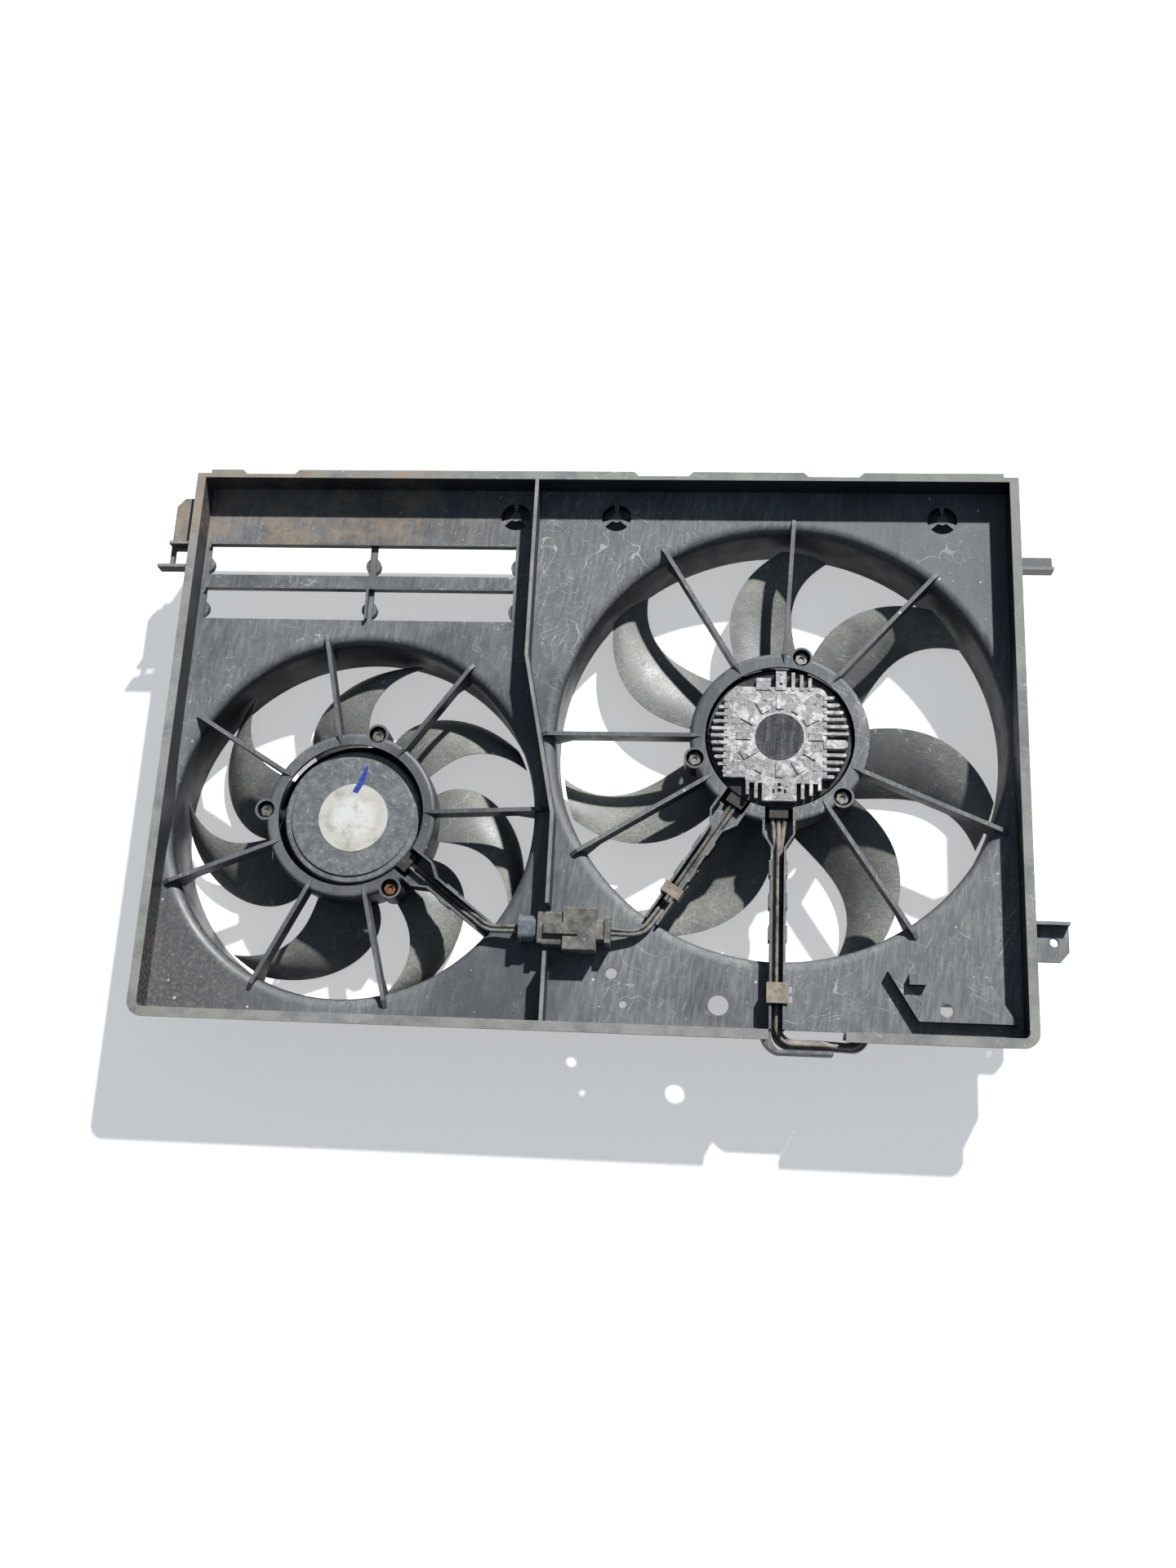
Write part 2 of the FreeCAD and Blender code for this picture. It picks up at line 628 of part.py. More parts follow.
def shroudBell(body, fan):
    throat = fan + "Throat"
    bell = sketchOn(body, fan + "Bell", "XZ", axisOf(fan) + ("0",))
    outline(bell, (
        (throat + " + bellDraft", "0"),
        (throat + " + bellDraft + wall + beadReach", "0"),
        (throat + " + bellDraft + wall + beadReach", "beadHeight"),
        (throat + " + bellDraft + wall", "beadHeight"),
        (throat + " + wall", "plateTop - lipRadius"),
        (throat + " + lipRadius", "plateTop - wall", "lipRadius - wall", -1),
        (throat + " + lipRadius", "plateTop"),
        (throat, "plateTop - lipRadius", "lipRadius", 1),
    ))
    revolve(body, bell)


def shroudWalls(body):
    walls = sketchOn(body, "walls", at=("0", "0", "wallFoot"))
    outline(walls, rimOutline("rimFlange"))
    outline(walls, rimOutline(wallInner))
    pad(body, walls, "rimTop - wallFoot")
    flange = sketchOn(body, "flange", at=("0", "0", "rimTop - wall"))
    outline(flange, rimOutline("0", True))
    outline(flange, rimOutline(wallInner))
    pad(body, flange, "wall")


# The lips of the two bells reach past the side walls and are cut flush there.
def shroudTrim(body):
    trim = sketchOn(body, "trim", at=("0", "0", "strutTop + wall"))
    for fan, sign in (("big", 1), ("small", -1)):
        reach = "%d * (rimWidth / 2 - rimFlange + 4 * wall)" % sign
        block(trim, reach, fan + "Y", "8 * wall", fan + "Throat")
    pocket(body, trim, "gussetDepth")


def shroudRib(body):
    rib = sketchOn(body, "rib", at=("0", "0", "plateTop - wall / 2"))
    high = "rimCentreY + rimHeight / 2 - rimFlange - wall / 2"
    low = "rimCentreY - rimHeight / 2 + rimFlange + wall / 2"
    outline(rib, (
        ("ribUpperX", high),
        ("ribUpperX", "ribUpperBend"),
        ("ribLowerX", "ribLowerBend"),
        ("ribLowerX", low),
        ("ribLowerX + ribThick", low),
        ("ribLowerX + ribThick", "ribLowerBend"),
        ("ribUpperX + ribThick", "ribUpperBend"),
        ("ribUpperX + ribThick", high),
    ))
    pad(body, rib, "rimTop - plateTop + wall / 2")
    gate = sketchOn(body, "ribGateCut", at=("0", "0", "rimTop + wall"))
    block(gate, "ribLowerX + ribThick / 2", "linkY", "ribThick * 3", "ribGate")
    pocket(body, gate, "rimTop + wall - plateTop")


def shroudWindows(body):
    rows = ("windowTop", "windowTop - windowRowHeight - windowRowGap")
    columns = (("windowLeft", "windowMiddle - windowBar / 2"),
               ("windowMiddle + windowBar / 2", "windowRight"))
    windows = sketchOn(body, "windows", at=("0", "0", "plateTop"))
    for high in rows:
        for left, right in columns:
            rectangle(windows, left, high + " - windowRowHeight", right, high)
    pocket(body, windows, "wall")
    ledges = sketchOn(body, "ledges", at=("0", "0", "plateTop - wall"))
    for low in ("windowTop", "windowTop - windowRowHeight - windowRowGap"):
        rectangle(ledges, "windowLeft", low, "windowRight", low + " + ledgeThick")
    rectangle(ledges, "windowMiddle - windowBar / 2", "windowTop - windowRowHeight * 2 - windowRowGap",
              "windowMiddle - windowBar / 2 + ledgeThick", "windowTop - windowRowHeight - windowRowGap")
    pad(body, ledges, "wall + ledgeHeight")
    hinges = sketchOn(body, "hinges", at=("0", "0", "plateTop - wall - hingeThick"))
    for high in rows:
        low = high + " - windowRowHeight + hingeLift"
        for left, right in columns:
            for across, side in ((left, "-"), (right, "")):
                root = "%s + (%s(wall))" % (across, side)
                begin = (root, "%s %s hingeRadius" % (low, "-" if side else "+"))
                finish = (root, "%s %s hingeRadius" % (low, "+" if side else "-"))
                outline(hinges, (begin, finish + ("hingeRadius * 1.02", 1)))
    pad(body, hinges, "hingeThick + wall / 2")


# Closed cups behind the spoked holes, and the box behind the recess beside the supply trough.
def shroudCups(body):
    cups = sketchOn(body, "cups", at=("0", "0", "plateTop - wall - cupDepth"))
    for across in ("plugLeftX", "plugMiddleX", "plugRightX"):
        circle(cups, across, "plugY", "plugRadius + wall")
    pad(body, cups, "cupDepth + wall / 2")
    hollows = sketchOn(body, "cupHollows", at=("0", "0", "plateTop - wall"))
    for across in ("plugLeftX", "plugMiddleX", "plugRightX"):
        circle(hollows, across, "plugY", "plugRadius + wall / 3")
    pocket(body, hollows, "cupDepth - wall")


def shroudHoles(body):
    holes = sketchOn(body, "plugs", at=("0", "0", "plateTop"))
    for across in ("plugLeftX", "plugMiddleX", "plugRightX"):
        for turn in range(3):
            begin = "%d + plugSpoke / 2" % (90 + 120 * turn)
            finish = "%d - plugSpoke / 2" % (210 + 120 * turn)
            ringPiece(holes, across, "plugY", "plugBoss", "plugRadius", begin, finish)
    circle(holes, "drainX", "drainY", "drainRadius")
    circle(holes, "locatorX", "locatorY", "locatorRadius")
    circle(holes, "portX", "portY", "portRadius")
    slotX = "bigX + clipWidth / 2 + 1 + slotWidth / 2"
    for step in ("+ slotLength * 0.7", "- slotLength * 0.7"):
        block(holes, slotX, "bigY - supplyClipReach " + step, "slotWidth", "slotLength")
    pocket(body, holes, "wall")
    notches = sketchOn(body, "notches", at=("0", "0", "rimTop"))
    edge = "rimCentreY + rimHeight / 2"
    for across in ("notchLeftX", "notchMiddleX", "notchRightX"):
        outline(notches, (
            (across + " - notchWidth / 2", edge + " + wall"),
            (across + " - notchWidth / 2", edge),
            (across + " - notchWidth / 2 + notchDepth", edge + " - notchDepth"),
            (across + " + notchWidth / 2 - notchDepth", edge + " - notchDepth"),
            (across + " + notchWidth / 2", edge),
            (across + " + notchWidth / 2", edge + " + wall"),
        ))
    pocket(body, notches, "wall")


# The raised corner field is a shell: a low box hollowed from behind.
def shroudField(body):
    def corners(inset):
        return (
            ("fieldLowX + (%s) * 0.56" % inset, "fieldLow + (%s)" % inset),
            ("fieldRight - (%s) * 1.86" % inset, "fieldLow + (%s)" % inset),
            ("fieldPeakX - (%s) * 0.32" % inset, "fieldPeakY - (%s) * 1.33" % inset),
            ("fieldLeft + (%s) * 1.39" % inset, "fieldLeftY - (%s) * 0.36" % inset),
        )
    field = sketchOn(body, "field", at=("0", "0", "plateTop - wall"))
    outline(field, corners("0"))
    pad(body, field, "fieldHeight + wall")
    hollow = sketchOn(body, "fieldHollow", at=("0", "0", "plateTop + fieldHeight - wall"))
    outline(hollow, corners("wall"))
    pocket(body, hollow, "fieldHeight")
    hole = sketchOn(body, "fieldHole", at=("0", "0", "plateTop + fieldHeight"))
    circle(hole, "fieldHoleX", "fieldHoleY", "fieldHoleRadius")
    pocket(body, hole, "wall * 2")
    post = sketchOn(body, "post", at=("0", "0", "plateTop + fieldHeight - wall"))
    block(post, "postX", "postY", "postWidth", "postWidth * 0.6")
    pad(body, post, "postHeight + wall")


# A carrier ring with its three screw ears.
def makeRing(fan):
    body = newBody(fan + "Ring")
    inner, outer = fan + "RingInner", fan + "RingOuter"
    ring = sketchOn(body, fan + "RingProfile", "XZ", axisOf(fan) + ("0",))
    outline(ring, (
        (inner, "ringTop - wall"),
        (outer + " - ringRound", "ringTop - wall"),
        (outer + " - wall", "ringTop - ringRound", "ringRound - wall", -1),
        (outer + " - wall", "ringFoot"),
        (outer, "ringFoot"),
        (outer, "ringTop - ringRound"),
        (outer + " - ringRound", "ringTop", "ringRound", 1),
        (inner, "ringTop"),
    ))
    revolve(body, ring)
    spots = [earSpot(fan, letter) for letter in "ABC"]
    ears = sketchOn(body, fan + "Ears", at=("0", "0", "ringFoot"))
    for across, along in spots:
        circle(ears, across, along, "earRadius")
    pad(body, ears, "ringTop - ringFoot")
    recesses = sketchOn(body, fan + "EarRecesses", at=("0", "0", "ringTop"))
    for across, along in spots:
        circle(recesses, across, along, "earPocket")
    pocket(body, recesses, "ringTop - earFloor")
    holes = sketchOn(body, fan + "EarHoles", at=("0", "0", "earFloor"))
    for across, along in spots:
        circle(holes, across, along, "screwRadius + screwGap")
    pocket(body, holes, "earFloor - ringFoot")
    return body


# The struts of one fan are a pad of radial bars, pointed where they run onto their ring. A cut turned
# about the fan's axis then gives them their straight lower edge, the gusset at the throat, the rise
# from the ring and the blunt end on the lip.
def makeStruts(fan):
    body = newBody(fan + "Struts")
    body.AllowCompound = True
    struts = sketchOn(body, fan + "StrutBars", at=("0", "0", "strutTop - gussetDepth"))
    half = "strutThick / 2"
    throat, full = fan + "Throat", fan + "RingOuter - wall / 2"
    outer = throat + " + lipRadius + footRun"
    for letter in letters:
        radialOutline(struts, fan, fan + "Strut" + letter, (
            (full + " - strutPoint", "0"),
            (full, "-" + half),
            (outer, "-" + half),
            (outer, half),
            (full, half),
        ))
    pad(body, struts, "gussetDepth")
    shape = sketchOn(body, fan + "StrutShape", "XZ", axisOf(fan) + ("0",))
    outline(shape, (
        (full + " - strutPoint - 1", "strutTop - gussetDepth - 1"),
        (throat + " - 0.3", "strutTop - gussetDepth - 1"),
        (throat + " - 0.3", "strutTop - gussetDepth"),
        (throat + " - gussetRun", "strutTop - strutDepth"),
        (full, "strutTop - strutDepth"),
        (full, "ringTop - ringRound"),
        (full + " - strutPoint - 1", "ringTop - wall / 2"),
    ))
    outline(shape, (
        (full + " - strutPoint", "ringTop"),
        (full, "strutTop"),
        (full, "strutTop + 1"),
        (full + " - strutPoint", "strutTop + 1"),
    ))
    outline(shape, (
        (throat + " + lipRadius * 0.7", "strutTop"),
        (outer + " + 1", "plateTop"),
        (outer + " + 1", "strutTop + 1"),
        (throat + " + lipRadius * 0.7", "strutTop + 1"),
    ))
    cut = feature(body, "Groove", shape)
    cut.ReferenceAxis = (shape, ["V_Axis"])
    cut.Angle = 360
    return body


# A trough is a solid bar first; its channel is cut after every rib and ring is there. It starts as a
# wide mouth at a gate in its ring.
troughs = (
    ("big", "supplyTrough", "bigY - rimCentreY + rimHeight / 2 - rimFlange - wall * 2", "wall"),
    ("big", "linkTrough", "bigThroat + wall / 2", "0"),
    ("small", "smallTrough", "smallThroat + wall / 2", "0"),
)


def troughOutline(sketch, fan, direction, begin, finish, inset, tabs):
    ring = fan + "RingOuter"
    wide, slim = "mouthWidth / 2 - (%s)" % inset, "troughWidth / 2 - (%s)" % inset
    steps = [
        (begin, wide),
        (ring + " + mouthRun", wide),
        (ring + " + mouthRun + mouthTaper", slim),
    ]
    for index in range(tabs):
        reach = "%s + tabReach + %d * tabPitch" % (ring, index)
        steps.append((reach, slim))
        steps.append((reach, slim + " + tabThick"))
        steps.append((reach + " + tabLength", slim + " + tabThick"))
        steps.append((reach + " + tabLength", slim))
    steps.append((finish, slim))
    right = [(reach, "-(%s)" % side) for reach, side in steps]
    radialOutline(sketch, fan, direction, right + steps[::-1])


def makeTroughBars():
    body = newBody("troughs")
    body.AllowCompound = True
    bars = sketchOn(body, "troughBars", at=("0", "0", "troughFoot"))
    for (fan, direction, reach, beyond), tabs in zip(troughs, (3, 2, 1)):
        troughOutline(bars, fan, direction, fan + "RingOuter - wall", reach, "0", tabs)
    pad(body, bars, "strutTop - troughFoot")
    return body


# The box of the recess stands behind the plate, beside the supply trough.
def shroudRecessBox(body):
    box = sketchOn(body, "recessBox", at=("0", "0", "troughFoot"))
    low = "rimCentreY - rimHeight / 2 + rimFlange + wall / 2"
    edge = "bigX - troughWidth / 2"
    rectangle(box, edge + " - recessWidth - wall", low, edge + " + troughWall / 2", "bigY - bigThroat - wall / 2")
    pad(body, box, "plateTop - troughFoot - wall / 2")


# What is cut from the joined shroud: the channels with their gates in the rings, and the recess.
def makeChannels():
    body = newBody("channels")
    body.AllowCompound = True
    channels = sketchOn(body, "troughChannels", at=("0", "0", "troughFoot + troughWall"))
    for fan, direction, reach, beyond in troughs:
        finish = "%s + %s" % (reach, beyond)
        troughOutline(channels, fan, direction, fan + "RingInner - wall", finish, "troughWall", 0)
    pad(body, channels, "strutTop + wall - troughFoot - troughWall")
    recess = sketchOn(body, "recess", at=("0", "0", "troughFoot + troughWall"))
    low = "rimCentreY - rimHeight / 2 + rimFlange + wall * 2"
    edge = "bigX - troughWidth / 2"
    rectangle(recess, edge + " - recessWidth", low, edge, "bigY - bigThroat + wall")
    pad(body, recess, "strutTop - troughFoot - troughWall")
    return body


# A gap in the lower wall lets the supply lead out, and a curved lip guides it to the right.
def shroudGuide(body):
    low = "rimCentreY - rimHeight / 2"
    gap = sketchOn(body, "guideGap", at=("0", "0", "rimTop + wall"))
    rectangle(gap, "guideLeft", low + " - wall", "guideRight", low + " + rimFlange + wall * 2")
    pocket(body, gap, "rimTop + wall - plateTop")
    slot = sketchOn(body, "guideSlot", at=("0", "0", "plateTop"))
    rectangle(slot, "guideLeft + wall", low + " - wall", "guideRight", low + " + rimFlange + wall * 2")
    pocket(body, slot, "lipRadius + wall * 3")
    lip = sketchOn(body, "guideLip", at=("0", "0", "guideFoot"))
    outer = low + " - guideReach"
    outline(lip, (
        ("guideLeft - wall * 2", low + " + rimFlange + wall"),
        ("guideLeft - wall * 2", low + " + rimFlange"),
        ("guideLeft + guideReach", outer, "guideReach + rimFlange + wall * 2", 1),
        ("guideRight - guideReach", outer),
        ("guideRight - guideReach", outer + " + wall"),
        ("guideLeft + guideReach", outer + " + wall"),
        ("guideLeft + wall", low + " + rimFlange", "guideReach + rimFlange", -1),
        ("guideLeft + wall", low + " + rimFlange + wall"),
    ))
    pad(body, lip, "guideTop - guideFoot")


def shroudLugs(body):
    side = "rimWidth / 2"
    wallFace = "rimWidth / 2 - rimFlange - wall / 2"
    reach = "rimWidth / 2 + lugReach"
    plates = sketchOn(body, "lugPlates", at=("0", "0", "lugFoot"))
    outline(plates, (
        ("-(%s)" % wallFace, "leftLugLow"),
        ("-(%s)" % wallFace, "leftLugHigh"),
        ("-(%s + lugReach * 0.45)" % side, "leftLugHigh"),
        ("-(%s + lugReach * 0.7)" % side, "leftLugHigh - lugReach * 0.3"),
        ("-(%s + lugReach * 0.7)" % side, "leftLugLow + wall"),
        ("-(%s)" % reach, "leftLugLow + wall"),
        ("-(%s)" % reach, "leftLugLow"),
    ))
    rectangle(plates, wallFace, "hookLow", reach, "hookLow + hookHeight")
    outline(plates, (
        (wallFace, "lowerLugTop - lowerLugHeight"),
        (reach + " - lugReach * 0.25", "lowerLugTop - lowerLugHeight"),
        (reach, "lowerLugTop - lowerLugHeight * 0.75"),
        (reach, "lowerLugTop"),
        (wallFace, "lowerLugTop"),
    ))
    pad(body, plates, "lugThick")
    flanges = sketchOn(body, "lugFlanges", at=("0", "0", "lugFoot"))
    rectangle(flanges, "-(%s)" % reach, "leftLugLow", "-(%s)" % wallFace, "leftLugLow + wall")
    rectangle(flanges, "-(%s + lugReach * 0.7)" % side, "leftSlotLow + leftSlotHeight + wall",
              "-(%s)" % wallFace, "leftSlotLow + leftSlotHeight + wall * 2")
    rectangle(flanges, wallFace, "lowerLugTop - wall", reach, "lowerLugTop")
    rectangle(flanges, wallFace, "hookLow", reach, "hookLow + wall")
    pad(body, flanges, "rimTop - lugFoot - wall")
    cuts = sketchOn(body, "lugCuts", at=("0", "0", "lugFoot + lugThick"))
    rectangle(cuts, "-(%s + wall + leftSlotWidth)" % side, "leftSlotLow",
              "-(%s + wall)" % side, "leftSlotLow + leftSlotHeight")
    circle(cuts, "lugHoleX", "lugHoleY", "lugHole")
    pocket(body, cuts, "lugThick")


# The panel with its bells, the struts, the rings and the troughs are one moulding.
def makeShroud():
    body = newBody("panel")
    shroudPlate(body)
    shroudWalls(body)
    shroudRib(body)
    shroudWindows(body)
    shroudCups(body)
    shroudField(body)
    shroudGuide(body)
    shroudLugs(body)
    shroudHoles(body)
    shroudRecessBox(body)
    for fan in fanUnits:
        shroudBell(body, fan)
    shroudTrim(body)
    joined = doc.addObject("Part::MultiFuse", "moulding")
    joined.Shapes = [
        body,
        makeStruts("big"),
        makeStruts("small"),
        makeRing("big"),
        makeRing("small"),
        makeTroughBars(),
    ]
    shroud = doc.addObject("Part::Cut", "mouldingWithChannels")
    shroud.Base, shroud.Tool = joined, makeChannels()
    keep("shroud", shroud)


makeShroud()


# Fans: a cup shaped hub and seven separate sickle blades with free tips.

def hubProfile(fan):
    hub = fan + "Hub"
    return (
        ("insertRadius", "hubFloor + nutHeight"),
        ("nutPocket", "hubFloor + nutHeight"),
        ("nutPocket", "hubFloor"),
        (hub + " - hubRound", "hubFloor"),
        (hub, "hubFloor + hubRound", "hubRound", 1),
        (hub, "hubTop"),
        (hub + " - hubWall", "hubTop"),
        (hub + " - hubWall", "hubFloor + hubRound"),
        (hub + " - hubRound", "hubFloor + hubWall", "hubRound - hubWall", -1),
        ("bossRadius", "hubFloor + hubWall"),
        ("bossRadius", "bossTop"),
        ("insertRadius", "bossTop"),
    )


def makeHub(fan):
    body = newBody(fan + "Hub")
    sketch = sketchOn(body, fan + "HubProfile", "XZ", axisOf(fan) + ("0",))
    outline(sketch, hubProfile(fan))
    revolve(body, sketch)
    rib = sketchOn(body, fan + "HubRib", at=axisOf(fan) + ("hubFloor + hubWall / 2",))
    rectangle(rib, "bossRadius - 2", "-hubRibThick / 2", fan + "Hub - hubWall / 2", "hubRibThick / 2")
    made = pad(body, rib, "hubWall / 2 + hubRibHeight")
    polar(body, made, rib, "hubRibCount")
    return body


# One section of a blade: a thin crescent in the plane that stands square to the blade's middle
# direction, its two edges exactly on the cylinder of the given radius.
def bladeSection(fan, radius):
    hub, tip = value(fan + "Hub"), value(fan + "Tip")
    share = (radius - hub) / (tip - hub)
    chord = value(fan + "Chord") + value(fan + "ChordRise") * share + value(fan + "ChordBend") * share ** 2
    sweep = value(fan + "SweepRise") * share + value(fan + "SweepBend") * share ** 2
    root, end = value(fan + "PitchRoot"), value(fan + "PitchTip")
    rise = (root + (end - root) * share) * value(fan + "Leading") / 2
    half = chord / (2 * radius)
    direction = math.radians(sweep)
    outward = Vector(math.cos(direction), math.sin(direction), 0)
    along = Vector(-outward.y, outward.x, 0)
    middle = outward * (radius * math.cos(half)) + Vector(0, 0, value("bladeMiddle"))
    edge, thick = value("bladeEdge") / 2, value("bladeThick") / 2
    arch = value("bladeCamber") * chord
    reach = along * (radius * math.sin(half))
    up = Vector(0, 0, 1)
    low, high = middle - reach - up * rise, middle + reach + up * rise
    crest = middle + up * arch
    front = Part.Arc(low + up * edge, crest + up * thick, high + up * edge).toShape()
    back = Part.Arc(high - up * edge, crest - up * thick, low - up * edge).toShape()
    return Part.Wire([
        front,
        Part.makeLine(high + up * edge, high - up * edge),
        back,
        Part.makeLine(low - up * edge, low + up * edge),
    ])


def makeBlade(fan):
    inner, outer = value(fan + "Hub - hubWall / 2"), value(fan + "Tip")
    steps = 6
    radii = [inner + (outer * 1.03 - inner) * step / steps for step in range(steps + 1)]
    loft = Part.makeLoft([bladeSection(fan, radius) for radius in radii], True, False)
    height = value("hubTop") * 2
    sleeve = Part.makeCylinder(outer, height).cut(Part.makeCylinder(inner, height))
    blade = doc.addObject("Part::Feature", fan + "Blade")
    blade.Shape = loft.common(sleeve)
    return blade


def makeFan(fan):
    hub = makeHub(fan)
    blade = makeBlade(fan)
    copies = [placedCopy(fan + "Blade" + letter, blade, axisOf(fan) + ("0",), fan + "Blade" + letter)
              for letter in letters]
    joined = hub
    for letter, copy in zip(letters, copies):
        fused = doc.addObject("Part::Fuse", fan + "FanBlades" + letter)
        fused.Base, fused.Tool = joined, copy
        joined = fused
    keep(fan + "_fan", joined)


# Rotating pieces

def makeRotor(fan):
    core = "%sCan - canWall - magnetThick - airGap" % fan
    turned(fan + "_hub_insert", fan, (
        ("shaftRadius", "hubFloor + nutHeight"),
        ("insertRadius", "hubFloor + nutHeight"),
        ("insertRadius", "bossTop"),
        ("shaftRadius", "bossTop"),
    ))
    nut = newBody(fan + "Nut")
    faces = sketchOn(nut, fan + "NutFaces", at=axisOf(fan) + ("hubFloor",))
    corners = [("nutRadius * cos(%d)" % angle, "nutRadius * sin(%d)" % angle) for angle in range(30, 390, 60)]
    outline(faces, corners)
    circle(faces, "0", "0", "shaftRadius")
    pad(nut, faces, "nutHeight")
    keep(fan + "_shaft_nut", nut)
    turned(fan + "_shaft", fan, (
        ("0", "shaftFoot"),
        ("shaftRadius - 0.6", "shaftFoot"),
        ("shaftRadius", "shaftFoot + 0.6"),
        ("shaftRadius", "shaftTop - 0.6"),
        ("shaftRadius - 0.6", "shaftTop"),
        ("0", "shaftTop"),
    ))
    armature = newBody(fan + "Armature")
    disc = sketchOn(armature, fan + "Core", at=axisOf(fan) + ("coreFoot",))
    circle(disc, "0", "0", core)
    circle(disc, "0", "0", "shaftRadius")
    pad(armature, disc, "coreTop - coreFoot")
    slot = sketchOn(armature, fan + "CoreSlot", at=axisOf(fan) + ("coreTop",))
    block(slot, core, "0", "coreSlotDepth * 2", "coreSlotWidth")
    cutSlot = pocket(armature, slot, "coreTop - coreFoot")
    polar(armature, cutSlot, slot, "coreSlots")
    keep(fan + "_armature", armature)
    winding = newBody(fan + "Winding")
    for side, low in (("Rear", "coreFoot - windingHeight"), ("Front", "coreTop")):
        turns = sketchOn(winding, fan + "Turns" + side, at=axisOf(fan) + (low,))
        circle(turns, "0", "0", core + " - 3")
        circle(turns, "0", "0", "windingInner")
        if side == "Rear":
            pad(winding, turns, "windingHeight")
            bar = sketchOn(winding, fan + "SlotBar", at=axisOf(fan) + ("coreFoot - windingHeight / 2",))
            block(bar, core + " - coreSlotDepth / 2 - 1", "0", "coreSlotDepth - 2.6", "coreSlotWidth - 0.4")
            bars = pad(winding, bar, "coreTop - coreFoot + windingHeight")
            polar(winding, bars, bar, "coreSlots")
        else:
            pad(winding, turns, "windingHeight")
    keep(fan + "_windings", winding)
    turned(fan + "_commutator", fan, (
        ("shaftRadius", "coreTop"),
        ("commutatorRadius + 1.4", "coreTop"),
        ("commutatorRadius + 1.4", "coreTop + 1.2"),
        ("commutatorRadius", "coreTop + 1.2"),
        ("commutatorRadius", "commutatorTop"),
        ("shaftRadius", "commutatorTop"),
    ))


# Copies of one piece gathered as one sub-part.
def group(node, original, places):
    copies = [placedCopy("%sCopy%d" % (node, index), original, at, turn)
              for index, (at, turn) in enumerate(places)]
    gathered = doc.addObject("Part::Compound", node + "Group")
    gathered.Links = copies
    return keep(node, gathered)


def makeBearing(node, fan, foot):
    turned(node, fan, (
        ("shaftRadius + runningGap", foot),
        ("bearingRadius", foot),
        ("bearingRadius", foot + " + bearingHeight"),
        ("shaftRadius + runningGap", foot + " + bearingHeight"),
    ))


def makeCan(fan):
    can = fan + "Can"
    collar = "canFoot + canWall + bearingHeight * 0.8"
    turned(fan + "_motor_can", fan, (
        ("shaftRadius + 1.5", "canFoot"),
        (can + " - canRound", "canFoot"),
        (can, "canFoot + canRound", "canRound", 1),
        (can, "canTop"),
        (can + " - canWall", "canTop"),
        (can + " - canWall", "canFoot + canRound"),
        (can + " - canRound", "canFoot + canWall", "canRound - canWall", -1),
        ("bearingRadius + canWall", "canFoot + canWall"),
        ("bearingRadius + canWall", collar),
        ("bearingRadius", collar),
        ("bearingRadius", "canFoot + canWall"),
        ("shaftRadius + 1.5", "canFoot + canWall"),
    ))


# The bracket is a ring round the can with three ears, each on the rear face of a carrier ear.
def makeBracket(fan):
    bracket = newBody(fan + "Bracket")
    plate = sketchOn(bracket, fan + "BracketRing", at=("0", "0", "bracketTop - bracketThick"))
    circle(plate, fan + "X", fan + "Y", fan + "Can + bracketRing")
    pad(bracket, plate, "bracketThick")
    ears = sketchOn(bracket, fan + "BracketEars", at=("0", "0", "bracketTop - bracketThick"))
    for letter in "ABC":
        across, along = earSpot(fan, letter)
        circle(ears, across, along, "bracketEar")
    pad(bracket, ears, "bracketThick")
    holes = sketchOn(bracket, fan + "BracketHoles", at=("0", "0", "bracketTop"))
    circle(holes, fan + "X", fan + "Y", fan + "Can")
    for letter in "ABC":
        across, along = earSpot(fan, letter)
        circle(holes, across, along, "screwRadius")
    pocket(bracket, holes, "bracketThick")
    keep(fan + "_motor_bracket", bracket)


def makeMagnets(fan):
    magnet = newBody(fan + "Magnet")
    arc = sketchOn(magnet, fan + "MagnetArc", at=("0", "0", "canFoot + canRound"))
    outer = fan + "Can - canWall"
    ringPiece(arc, "0", "0", outer + " - magnetThick", outer, "-magnetAngle / 2", "magnetAngle / 2")
    pad(magnet, arc, "brushPlateFoot - canFoot - canRound - brushHeight")
    places = [(axisOf(fan) + ("0",), str(45 + 90 * turn)) for turn in range(4)]
    group(fan + "_motor_magnets", magnet, places)


